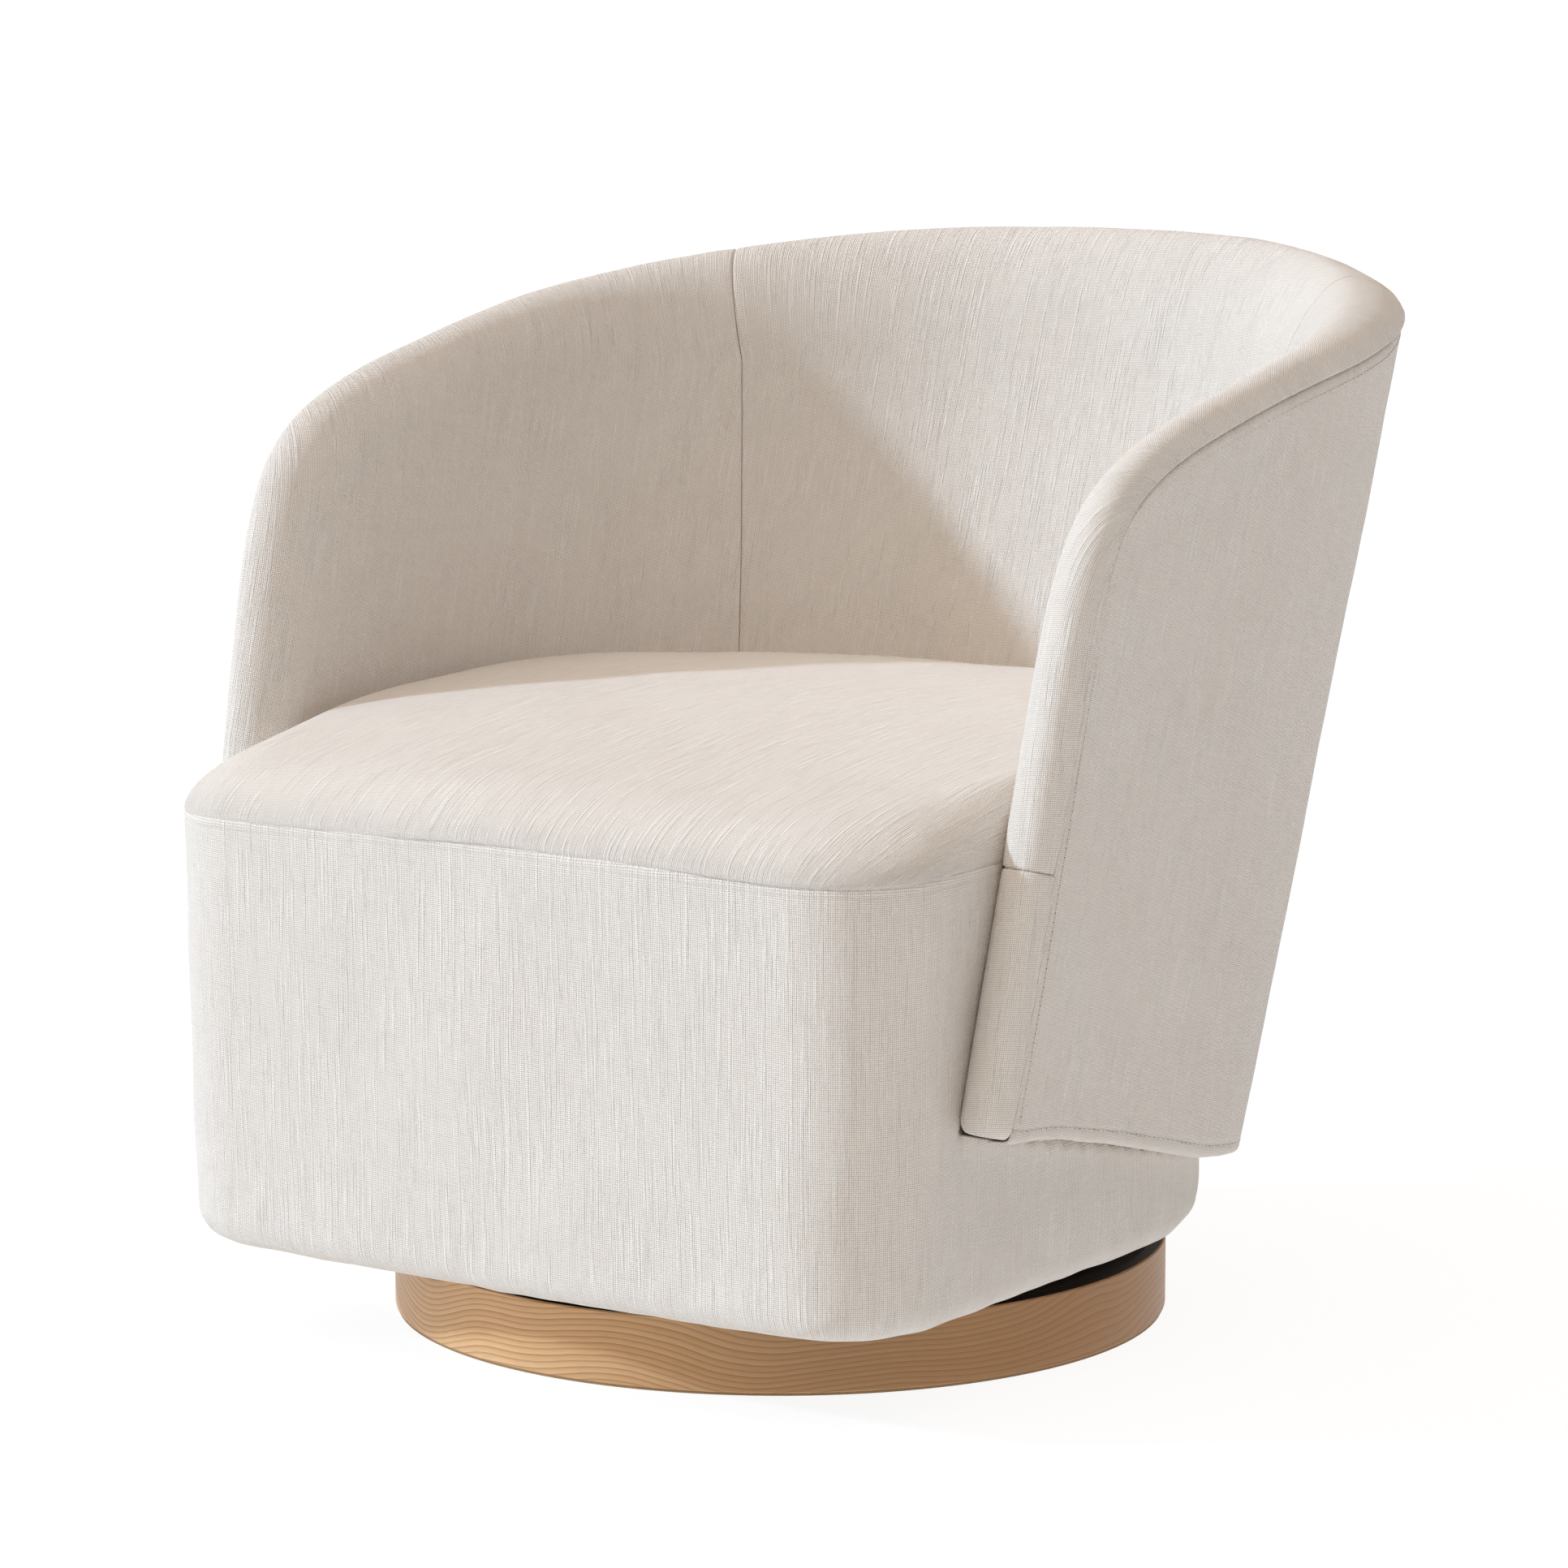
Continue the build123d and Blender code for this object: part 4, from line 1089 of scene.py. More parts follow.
@dataclass
class Barrel:
    """Padded back and arms: inner panels that roll over the top, and an outer panel with a hem.

    The panels share stations along the ridge of the wall. Marks are the numbers of the stations
    at the band seam, at the outer panel's upper front corner, at the seam between arm and back
    and at the middle of the back.
    """

    tub: Tub = field(default_factory=Tub)
    step: float = 4.0
    # The share of the ridge's direction that runs across the chair, where the outer panel's side
    # becomes its top.
    corner_way: float = 0.72
    ridge_seam_s: float = 333.0
    # How far the nose's upright seam leans back on its way down to the inner face, and over what
    # length of ridge that dies out.
    seam_lag: float = 25.0
    lag_width: float = 110.0
    # A rim's point belongs to a station only if it lies this near to it.
    near: float = 125.0
    band_seam_z: float = 393.0
    inner_bottom_z: float = 380.0
    hem: float = 10.0
    cloth_thick: float = 2.0
    fill: float = 0.8
    stitch_from_seam: float = 8.5
    # Where the upright seam between arm and back runs on the inner face, as rows of h and s, and
    # the height over which it bends to meet the nose's seam.
    upright_seam: tuple[tuple[float, float], ...] = (
        (351.0, 285.4), (403.0, 294.0), (472.0, 304.9), (540.0, 314.7), (608.0, 325.8),
    )
    seam_bend: float = 170.0
    # Rows over the nose: how many round the inner quarter, shares of the outer quarter, and shares
    # of the flat way from there to the seam. They lie closer near the seam.
    inner_rows: int = 20
    outer_rows: tuple[float, ...] = (
        0.88, 0.76, 0.64, 0.53, 0.43, 0.34, 0.26, 0.19, 0.14, 0.1, 0.06, 0.03, 0.0,
    )
    tail_rows: tuple[float, ...] = (0.4, 0.7, 0.88, 1.0)
    # The raised fold beside the outer seam: place, width and height; then the groove at the seam.
    fold: Triple = (2.8, 1.9, 1.0)
    groove: Triple = (0.0, 1.1, 3.0)
    # The arm front's foot is rounded in over the first, by up to the second.
    foot_length: float = 12.0
    foot_tuck: float = 7.0
    strip_width: float = 40.0
    strip_rows: int = 9
    # The hem from its stitches down, as rows of height over the edge and inset.
    hem_rows: tuple[tuple[float, float], ...] = (
        (10.0, 0.0), (9.4, 0.5), (8.6, 0.1), (7.6, -0.2), (6.2, -0.2), (4.8, 0.0), (3.5, 0.4),
        (2.4, 1.1), (1.4, 2.3), (0.7, 4.2), (0.2, 6.6), (0.0, 9.5), (0.0, 13.0), (0.0, 18.0),
    )
    ruffle: float = 0.5
    # The cloth under the wall: where it starts, how far it stays from the inner face and from the
    # edge's plane, and its rows.
    under_inset: float = 16.0
    under_gap: float = 1.0
    under_rise: float = 0.6
    under_rows: int = 12

    def __post_init__(self) -> None:
        """Works out the stations round the arms and the top that all the panels share."""
        tub, zero = self.tub, (0.0, 0.0, 0.0)
        self.ridge = tub.rim(tub.ridge_inset, zero)
        lengths = arc_lengths(self.ridge[:, 2:])
        on_edge = np.interp(0.0, tub.above_edge(self.ridge[:, 2:]), lengths)
        above = lengths > on_edge
        band = np.interp(self.band_seam_z, self.ridge[above, 4], lengths[above])
        way = unit(np.gradient(self.ridge[:, 3:], axis=0))
        corner = lengths[np.argmax(above & (way[:, 0] > self.corner_way))]
        back_seam = np.interp(-self.ridge_seam_s, -self.ridge[:, 0], lengths)
        parts = [
            on_edge + spread(band - on_edge, self.step, True, True),
            band + spread(corner - band, self.step, True, False),
            corner + spread(back_seam - corner, self.step, False, True),
            back_seam + spread(lengths[-1] - back_seam, self.step, True, False),
        ]
        self.marks = np.cumsum([len(p) - 1 for p in parts])
        self.stations = np.concatenate([parts[0]] + [p[1:] for p in parts[1:]])
        self.middle = at_lengths(self.ridge, lengths, self.stations)
        tangent = np.gradient(self.middle[:, 2:], self.stations, axis=0)
        tangent[-1] = (-1.0, 0.0, 0.0)
        self.tangent = unit(tangent)
        lag = self.seam_lag * bell(self.middle[:, 0], self.ridge_seam_s, self.lag_width)
        self.at_inner = self._crossing(tub.rim(tub.wall, tub.inner_roll), lag)
        self.at_outer = self._crossing(tub.rim(zero, tub.outer_roll))
        self.at_seam = self._crossing(tub.rim(zero, tub.seam_depth))

    def _crossing(self, curve: np.ndarray, lag: np.ndarray | float = 0.0) -> np.ndarray:
        """Finds where a rim passes through the cross plane of each station, or a lag before it.

        Args:
            curve: the rim's rows.
            lag: how far before.

        Returns:
            A row of s, h, x, y, z for each station.
        """
        lags = np.zeros(len(self.stations)) + lag
        full = np.concatenate([curve, (curve * np.array([-1, 1, -1, 1, 1]))[-2::-1]])
        found = np.zeros((len(self.stations), 5))
        for i, (centre, along) in enumerate(zip(self.middle[:, 2:], self.tangent)):
            offset = full[:, 2:] - centre
            ahead = offset @ along + lags[i]
            near = np.linalg.norm(offset, axis=1) < self.near
            passes = near[:-1] & near[1:] & (ahead[:-1] < 0) & (ahead[1:] >= 0)
            change = np.nonzero(passes)[0]
            if len(change) == 0:
                change = np.array([np.argmin(np.where(near, np.abs(ahead), 1e9))])
                change = np.clip(change, 0, len(full) - 2)
            k = change[0]
            share = np.clip(-ahead[k] / (ahead[k + 1] - ahead[k] + 1e-9), 0, 1)
            found[i] = full[k] * (1 - share) + full[k + 1] * share
        return found

    def nose(self, first: int, last: int) -> Grid:
        """Makes the soft nose over some stations.

        Args:
            first: the first station's number.
            last: the last one's.

        Returns:
            A sheet of rows from the inner face over to the outer seam, one column a station.
        """
        span = slice(first, last + 1)
        rims = (self.at_inner, self.at_outer, self.at_seam)
        inner, outer, seam = (rows[span, 2:] for rows in rims)
        ridge, along = self.middle[span, 2:], self.tangent[span]
        face = self.tub.normal(self.middle[span, 0])
        across = unit(face - along * (face * along).sum(-1, keepdims=True))
        up = np.cross(along, across)
        up = up * np.sign(((ridge - inner) * up).sum(-1, keepdims=True))
        points, outward = [], []
        up_inner = np.linspace(0, pi / 2, self.inner_rows)
        down_outer = pi / 2 * np.array(self.outer_rows)
        for foot, turns in ((inner, up_inner), (outer, down_outer)):
            rise = ((ridge - foot) * up).sum(-1, keepdims=True)
            reach = ((foot - ridge) * across).sum(-1, keepdims=True)
            centre = ridge - up * rise
            for turn in turns:
                points.append(centre + (foot - centre) * cos(turn) + up * rise * sin(turn))
                outward.append(unit(across * cos(turn) / reach + up * sin(turn) / rise))
        for share in self.tail_rows:
            points.append(outer * (1 - share) + seam * share)
            outward.append(face)
        points = np.array(points)
        steps = np.linalg.norm(np.diff(points, axis=0), axis=2)
        distance = np.concatenate([0 * steps[:1], np.cumsum(steps, 0)])
        left = distance[-1] - distance
        (fold_at, fold_width, fold), (at, width, groove) = self.fold, self.groove
        lift = fold * bell(left, fold_at, fold_width) - groove * bell(left, at, width)
        base = self.at_inner[span, :2]
        way = unit(self.at_seam[span, :2] - base + np.array([1e-6, 0]))
        cloth = base[None] + way[None] * distance[..., None]
        return Grid(points, cloth, np.array(outward)).lifted(lift)

    def inner_panel(self, places: np.ndarray) -> Grid:
        """A sheet on the inner face, at rows of s and h."""
        s, h = places[..., 0], places[..., 1]
        return Grid(self.tub.inner_point(s, h), places.copy(), -self.tub.normal(s))

    def outer_face(self, places: np.ndarray) -> Grid:
        """A sheet on the outer face, at rows of s and h."""
        s, h = places[..., 0], places[..., 1]
        return Grid(self.tub.point(s, h, 0.0), places.copy(), self.tub.normal(s))

    def seam_column(self, bottom_h: float, top: np.ndarray, share: np.ndarray) -> np.ndarray:
        """Draws the upright seam between arm and back on the inner face.

        Args:
            bottom_h: h of its foot.
            top: s and h of its top.
            share: shares of its height.

        Returns:
            A row of s and h for each share.
        """
        h = bottom_h + (top[1] - bottom_h) * share
        rows = np.array(self.upright_seam)
        s = np.interp(h, rows[:, 0], rows[:, 1])
        return np.stack([s + (top[0] - s[-1]) * smooth(h, top[1] - self.seam_bend, top[1]), h], 1)

    def panel_foot(self, s: float) -> float:
        """h of the inner panels' foot at s, on the inner face.

        Args:
            s: along the outline.

        Returns:
            h there.
        """
        low, high = (self.tub.inner_point(np.array([s]), np.array([h]))[0, 2] for h in (0.0, 1.0))
        return float((self.inner_bottom_z - low) / (high - low))

    def inner_arm(self) -> list[Grid]:
        """Makes the +X arm's inner side.

        Returns:
            Its panel and its nose.
        """
        band, corner, seam = self.marks[:3]
        left = self.at_inner[band : corner + 1, :2]
        top = self.at_inner[corner : seam + 1, :2]
        share = (left[:, 1] - left[0, 1]) / (left[-1, 1] - left[0, 1])
        right = self.seam_column(self.panel_foot(top[-1, 0]), top[-1], share)
        u = arc_lengths(top) / arc_lengths(top)[-1]
        bottom_s = left[0, 0] + (right[0, 0] - left[0, 0]) * u
        bottom = np.stack([bottom_s, left[0, 1] + (right[0, 1] - left[0, 1]) * u], 1)
        places = coons(bottom, top, left, right)
        sheet = self.inner_panel(places)
        gap = np.abs(places[..., 0] - right[:, None, 0])
        sheet = sheet.lifted(PLAIN_SEAM(gap) + INNER_WAVES(sheet.points))
        nose = self.nose(band, seam)
        after = self.stations[band : seam + 1] - self.stations[band]
        before = self.stations[seam] - self.stations[band : seam + 1]
        dip = PLAIN_SEAM(before) + PLAIN_SEAM(after)
        nose = nose.lifted(np.broadcast_to(dip, nose.points.shape[:2]))
        nose = nose.lifted(INNER_WAVES(nose.points))
        nose.points[0] = np.concatenate([sheet.points[:, 0], sheet.points[-1, 1:]])
        return [sheet, nose]

    def inner_back(self) -> list[Grid]:
        """Makes the whole inner back.

        Returns:
            Its panel and its nose.
        """
        seam, last = self.marks[2:]
        top = self.at_inner[seam : last + 1, :2]
        foot = self.panel_foot(top[0, 0])
        share = np.linspace(0, 1, int((top[0, 1] - foot) / self.step))
        left = self.seam_column(foot, top[0], share)
        foot = self.panel_foot(0.0)
        right = np.stack([0 * share, foot + (top[-1, 1] - foot) * share], 1)
        u = arc_lengths(top) / arc_lengths(top)[-1]
        bottom = left[0] * (1 - u[:, None]) + right[0] * u[:, None]
        places = coons(bottom, top, left, right)
        gap = np.abs(places[..., 0] - left[:, None, 0])
        sheet = self.inner_panel(places).lifted(PLAIN_SEAM(gap)).doubled()
        sheet = sheet.lifted(INNER_WAVES(sheet.points))
        nose = self.nose(seam, last)
        dip = PLAIN_SEAM(self.stations[seam : last + 1] - self.stations[seam])
        nose = nose.lifted(np.broadcast_to(dip, nose.points.shape[:2])).doubled()
        nose = nose.lifted(INNER_WAVES(nose.points))
        nose.points[0] = sheet.points[-1]
        return [sheet, nose]

    def front_band(self) -> list[Grid]:
        """Makes the +X arm's lower front, below the band seam.

        Returns:
            A strip on the inner face and the nose.
        """
        band = self.marks[0]
        nose = self.nose(0, band)
        stations = self.stations[: band + 1]
        foot = np.clip(1 - (stations - stations[0]) / self.foot_length, 0, 1)
        tucked = PLAIN_SEAM(stations[band] - stations) - self.foot_tuck * (1 - np.sqrt(1 - foot**2))
        nose = nose.lifted(np.broadcast_to(tucked, nose.points.shape[:2]))
        edge = self.at_inner[: band + 1, :2]
        reach = np.linspace(self.strip_width, 0.0, self.strip_rows)[:, None]
        places = np.stack([edge[None, :, 0] - reach, edge[None, :, 1] + 0 * reach], -1)
        strip = self.inner_panel(places)
        strip = strip.lifted(np.broadcast_to(tucked, strip.points.shape[:2]))
        nose.points[0] = strip.points[-1]
        return [strip, nose]

    @cached_property
    def outer_places(self) -> np.ndarray:
        """Draws the outer panel flat.

        Returns:
            Rows of s and h from the hem line up to the seam.
        """
        corner, least_row = self.marks[1], 3.0
        right = self.at_seam[: corner + 1, :2]
        over_edge = self.tub.above_edge(self.at_seam[: corner + 1, 2:])
        height = over_edge - self.tub.edge_rise(right[:, 0])
        first = np.array([np.interp(self.hem, height, right[:, 0]), 0.0])
        first[1] = self.tub.height_of_edge(first[:1], 0.0, self.hem)[0]
        right = np.concatenate([first[None], right[height > self.hem + least_row]])
        top = self.at_seam[corner:, :2]
        top = np.concatenate([top, (top * np.array([-1, 1]))[-2::-1]])[::-1]
        left = right * np.array([-1, 1])
        u = arc_lengths(top) / arc_lengths(top)[-1]
        s = left[0, 0] + (right[0, 0] - left[0, 0]) * u
        bottom = np.stack([s, self.tub.height_of_edge(s, 0.0, self.hem)], 1)
        return coons(bottom, top, left, right)

    def outer_panel(self) -> Grid:
        """Makes the outer panel, sunk a little at its seams and its stitches.

        Returns:
            The sheet.
        """
        sheet = self.outer_face(self.outer_places)
        edges = (sheet.points[:, :1], sheet.points[:, -1:], sheet.points[-1:])
        gap = np.min([np.linalg.norm(sheet.points - edge, axis=-1) for edge in edges], axis=0)
        stitch = -0.45 * bell(gap, self.stitch_from_seam, 1.6)
        return sheet.lifted(OUTER_SEAM(gap) + stitch + OUTER_WAVES(sheet.points))

    def hem_strip(self) -> Grid:
        """Makes the hem along the lower edge: sunk at its stitches, then rounded under.

        Returns:
            The sheet.
        """
        s = self.outer_places[0][:, 0]
        rows, cloth = [], []
        for height, inset in self.hem_rows:
            h = self.tub.height_of_edge(s, inset, height)
            rows.append(self.tub.point(s, h, inset))
            cloth.append(np.stack([s, h - inset], 1))
        points, up = np.array(rows), np.array(self.hem_rows)[:, :1]
        outward = np.broadcast_to(self.tub.normal(s), points.shape)
        ruffle = self.ruffle * Waviness(8, 38.0)(points) * (1 - up / self.hem)
        return Grid(points, np.array(cloth), outward).lifted(OUTER_WAVES(points) + ruffle)

    def underside(self) -> Grid:
        """Makes the cloth under the wall.

        Returns:
            A sheet from the hem to the inner face.
        """
        s, start = self.outer_places[0][:, 0], self.under_inset
        inner = self.tub.at(self.tub.wall, s) - self.under_gap
        shares = np.linspace(0.0, 1.0, self.under_rows)
        insets = [start + (inner - start) * share for share in shares]
        heights = [self.tub.height_of_edge(s, inset, self.under_rise) for inset in insets]
        rows = [self.tub.point(s, h, inset) for h, inset in zip(heights, insets)]
        cloth = [np.stack([s, -d], 1) for d in insets]
        outward = np.broadcast_to(np.array([0.0, 0.0, -1.0]), (len(insets), len(s), 3))
        return Grid(np.array(rows), np.array(cloth), outward)

    def seam_stitches(self) -> tuple[np.ndarray, np.ndarray]:
        """Draws the row of stitches beside the outer seam, from hem to hem.

        Returns:
            Its places and the cloth's outward directions.
        """
        seam = self.at_seam[:, :2]
        line, face = self.tub.point(seam[:, 0], seam[:, 1], 0.0), self.tub.normal(seam[:, 0])
        aside = unit(np.cross(unit(np.gradient(line, axis=0)), face))
        away = np.sign((aside * (line - self.middle[:, 2:])).sum(-1, keepdims=True))
        line = line + aside * away * self.stitch_from_seam
        line = line + face * (OUTER_WAVES(line) - 0.55)[:, None]
        keep = self.tub.above_edge(line) - self.tub.edge_rise(seam[:, 0]) > self.hem + 2.0
        sides = [(rows[keep], rows[keep] * np.array([-1, 1, 1])) for rows in (line, face)]
        line, face = (np.concatenate([right, left[-2::-1]]) for right, left in sides)
        return line, face

    def hem_stitches(self) -> tuple[np.ndarray, np.ndarray]:
        """Draws the row of stitches along the hem.

        Returns:
            Its places and the cloth's outward directions.
        """
        s = self.outer_places[0][:, 0]
        s = s[(s > s.min() + 10) & (s < s.max() - 10)]
        line = self.tub.point(s, self.tub.height_of_edge(s, 0.0, self.hem - 0.4), 0.0)
        face = self.tub.normal(s)
        return line + face * (OUTER_WAVES(line) - 0.3)[:, None], face

    def build(self) -> None:
        """Makes every piece of the barrel's upholstery."""
        covers = ("inner_back_cover", "inner_back_padding", "top_roll")
        pieces = {"inner_back_panel": (self.inner_back(), covers)}
        for name in ("right", "left"):
            arm, band = self.inner_arm(), self.front_band()
            if name == "left":
                arm, band = [g.mirrored() for g in arm], [g.mirrored() for g in band]
            covers = (f"inner_arm_cover_{name}", f"inner_arm_padding_{name}")
            pieces[f"inner_arm_panel_{name}"] = (arm, covers)
            pieces[f"arm_front_panel_{name}"] = (band, (f"arm_front_band_{name}",))
        pieces["outer_panel"] = ([self.outer_panel()], ("outer_cover",))
        pieces["outer_hem"] = ([self.hem_strip()], ("outer_hem_band",))
        pieces["barrel_underside"] = ([self.underside()], ("barrel_underside_strip",))
        for name, (sheets, nodes) in pieces.items():
            maker = MeshMaker(name)
            for sheet in sheets:
                maker.add_grid(sheet)
            piece = maker.build([Finish.WEAVE.material()], self.cloth_thick)
            face_outwards(piece, sheets[0])
            place(piece, Finish.WEAVE, nodes)
        Stitching().build("barrel_topstitching", [self.seam_stitches(), self.hem_stitches()])


# ---- The seat -----------------------------------------------------------------------------------
@dataclass
class Seat:
    """Soft border with a rounded hem, and a crowned top sewn to it."""

    barrel: Barrel
    bottom: float = 75.0
    seam: float = 389.0
    half_width: float = 315.0
    front: float = 342.0
    rear: float = 267.0
    # The top reaches further back than the border, out of sight behind the inner back's foot.
    top_rear: float = 372.0
    front_r: float = 72.0
    rear_r: float = 262.0
    arc_points: int = 160
    # The front bows out by this much, which starts between these distances in front of the middle.
    bow: float = 13.0
    bow_from: tuple[float, float] = (180.0, 300.0)
    flare: float = 1.3
    # The seam rises in the middle of the front, over a width, and a little elsewhere.
    seam_rise: float = 7.0
    seam_rise_width: float = 190.0
    seam_rise_elsewhere: float = 3.0
    seam_front: tuple[float, float] = (250.0, 330.0)
    crown_top: float = 464.0
    crown_y: float = 30.0
    crown_length_r: float = 1950.0
    crown_width_r: float = 3600.0
    # How far in from the seam the top is rounded at the front, and how much less beside the arms.
    roll: float = 70.0
    roll_less: float = 44.0
    roll_front: tuple[float, float] = (-330.0, -130.0)
    # Distance kept from the padded wall, and how the points get there: in steps of a share of what
    # is missing.
    gap: float = 1.2
    clear_steps: int = 24
    clear_share: float = 0.9
    step: float = 4.5
    # The border's rows: how far they lie inside the hem's rounding on the underside, how many round
    # it and up to the last stretch, and in that how far below the seam, with the stitches on one.
    under_rows: tuple[float, ...] = (38.0, 24.0, 10.0)
    hem_r: float = 18.0
    hem_rows: int = 9
    side_rows: int = 60
    side_end: float = 12.0
    seam_rows: tuple[float, ...] = (9.0, 7.5, 6.0, 4.6, 3.2, 2.0, 1.0, 0.4, 0.0)
    stitch_row: int = 2
    # The puckers of the hem: how high over the bottom their middle lies, and their reach.
    pucker_at: float = 22.0
    pucker_reach: float = 26.0
    # The top's rows: beside the seam, round its edge, and from there to its middle.
    edge_rows: tuple[float, ...] = (0.0, 0.25, 0.8)
    round_rows: int = 22
    flat_rows: int = 70
    middle: tuple[float, float] = (0.0, 10.0)
    border_fill: float = 0.8
    top_fill: float = 0.9

    def outline(self, rear: float, grow: float) -> tuple[np.ndarray, np.ndarray]:
        """Draws the plan from the middle of the back round by +X.

        Args:
            rear: y of its rear edge.
            grow: how far it lies outside the plan at the bottom.

        Returns:
            Rows of x and y, and their outward directions.
        """
        half, front = self.half_width, -self.front
        arcs = [
            (half - self.rear_r, rear - self.rear_r, self.rear_r, 90.0, 0.0),
            (half - self.front_r, front + self.front_r, self.front_r, 0.0, -90.0),
        ]
        rows = [np.array([[0.0, rear, 0.0, 1.0]])]
        for cx, cy, r, start, stop in arcs:
            a = np.radians(np.linspace(start, stop, self.arc_points))
            n = np.stack([np.cos(a), np.sin(a)], 1)
            rows.append(np.concatenate([np.array([cx, cy]) + r * n, n], 1))
        half_way = np.concatenate(rows + [np.array([[0.0, front, 0.0, -1.0]])])
        other_side = half_way[-2:0:-1] * np.array([-1, 1, -1, 1])
        closed = np.concatenate([half_way, other_side, half_way[:1]])
        along = arc_lengths(closed[:, :2])
        places = np.linspace(0, along[-1], int(along[-1] / self.step), endpoint=False)
        out = at_lengths(closed, along, places)
        p, n = out[:, :2], unit(out[:, 2:])
        share = smooth(-p[:, 1], *self.bow_from) * np.clip(1 - (p[:, 0] / half) ** 2, 0, 1)
        p = p - np.stack([0 * share, self.bow * share], 1)
        return p + n * grow, n

    def seam_height(self, plan: np.ndarray) -> np.ndarray:
        """Height of the seam over the floor.

        Args:
            plan: rows of x and y along it.

        Returns:
            z of each.
        """
        at_front = smooth(-plan[..., 1], *self.seam_front)
        rise = self.seam_rise * at_front * bell(plan[..., 0], 0.0, self.seam_rise_width)
        return self.seam + rise + self.seam_rise_elsewhere * (1 - at_front)

    def crown(self, plan: np.ndarray) -> np.ndarray:
        """Height of the crowned top over the floor.

        Args:
            plan: rows of x and y.

        Returns:
            z of each.
        """
        across = plan[..., 0] ** 2 / (2 * self.crown_width_r)
        along = (plan[..., 1] - self.crown_y) ** 2 / (2 * self.crown_length_r)
        return self.crown_top - across - along

    def clear_of_barrel(self, points: np.ndarray, inward: np.ndarray) -> np.ndarray:
        """Draws points in until they are clear of the padded wall.

        Args:
            points: the points.
            inward: the direction in which each may move.

        Returns:
            Their new places.
        """
        moved = points.copy()
        for _ in range(self.clear_steps):
            short = np.clip(self.gap - self.barrel.tub.clearance(moved), 0, None)
            moved = moved + inward * (short * self.clear_share)[..., None]
        return moved

    def border(self) -> Grid:
        """Makes the border.

        Returns:
            A sheet of rows from under the hem up to the seam.
        """
        turns = radians(1) * np.linspace(0, 90, self.hem_rows)
        levels = [(self.bottom, -self.hem_r - x) for x in self.under_rows]
        levels += [
            (self.bottom + self.hem_r * (1 - cos(a)), -self.hem_r * (1 - sin(a))) for a in turns
        ]
        side = np.linspace(self.bottom + self.hem_r, self.seam - self.side_end, self.side_rows)[1:]
        near_seam = self.seam - np.array(self.seam_rows)
        levels += [(z, 0.0) for z in np.concatenate([side, near_seam])]
        rows, cloth = [], []
        base, n = self.outline(self.rear, 0.0)
        around = arc_lengths(np.concatenate([base, base[:1]]))[:-1]
        outward = np.concatenate([n, 0 * n[:, :1]], 1)
        pucker, bulge = Waviness(21, 26.0), Waviness(23, 130.0)
        folds = 1.4 * pucker(np.stack([around, 0 * around, 0 * around], 1))
        for z, back in levels:
            grow = (z - self.bottom) * tan(radians(self.flare)) + back
            up = smooth(np.array(z), self.bottom, self.seam)
            rise = (self.seam_height(base) - self.seam) * up
            near_hem = bell(z - self.bottom, self.pucker_at, self.pucker_reach)
            plan = base + n * grow
            height = z + rise + folds * near_hem * 0.6
            left = self.seam - z
            stitch = 0.5 * bell(left, self.seam_rows[self.stitch_row], 1.5)
            dip = -1.6 * np.exp(-left / 1.2) - stitch
            spot = np.stack([plan[:, 0], plan[:, 1], height], 1)
            lift = (dip + (1.1 * bulge(spot) + 0.5 * pucker(spot) * near_hem))[:, None]
            rows.append(spot + outward * lift)
            cloth.append(np.stack([around, height + back], 1))
        points = np.array(rows)
        outward = np.broadcast_to(outward, points.shape)
        return Grid(self.clear_of_barrel(points, -outward), np.array(cloth), outward)

    def top(self) -> Grid:
        """Makes the crowned top.

        Returns:
            A sheet of rows from the seam to its middle.
        """
        grow = (self.seam - self.bottom) * tan(radians(self.flare))
        edge, n = self.outline(self.top_rear, grow)
        seam_z = self.seam_height(edge)
        roll = self.roll - self.roll_less * smooth(edge[:, 1], *self.roll_front)
        round_in = self.roll * (1 - np.cos(np.linspace(0.2, pi / 2, self.round_rows)))
        reach = np.concatenate([self.edge_rows, round_in])
        rows = []
        for e in reach:
            plan = edge - n * e
            share = np.sqrt(np.clip(1 - (1 - np.minimum(e / roll, 1.0)) ** 2, 0, 1))
            z = seam_z + (self.crown(plan) - seam_z) * share
            rows.append(np.stack([plan[:, 0], plan[:, 1], z], 1))
        steps = np.median(np.linalg.norm(np.diff(np.array(rows), axis=0), axis=2), axis=1)
        run = np.concatenate([[0.0], np.cumsum(steps)])
        # A raised ridge of cloth beside the seam, and the groove at it.
        ridge = bell(run, 2.2, 1.6) - 1.8 * bell(run, 0.0, 0.8)
        side = np.concatenate([n, 0 * n[:, :1]], 1)
        rows = [row + side * lift for row, lift in zip(rows, ridge)]
        inner_edge = edge - n * reach[-1]
        flat = [inner_edge + n * (run[-1] - run_at) for run_at in run]
        for share in np.linspace(0, 1, self.flat_rows)[1:]:
            plan = inner_edge * (1 - share) + np.array(self.middle) * share
            rows.append(np.stack([plan[:, 0], plan[:, 1], self.crown(plan)], 1))
            flat.append(plan)
        points = np.array(rows)
        points[..., 2] += 0.8 * Waviness(31, 130.0)(points)
        inward = unit(np.array([0.0, -60.0, 0.0]) - points * np.array([1, 1, 0]))
        points = self.clear_of_barrel(points, inward)
        # Beside the arms and the back, the top sinks a little towards the wall.
        near_wall = np.clip(1 - self.barrel.tub.clearance(points) / 12.0, 0, 1) ** 2
        points[..., 2] -= 3.0 * near_wall * smooth(points[..., 1], -240.0, -150.0)
        outward = np.broadcast_to(np.array([0.0, 0.0, 1.0]), points.shape)
        return Grid(points, np.array(flat), outward)

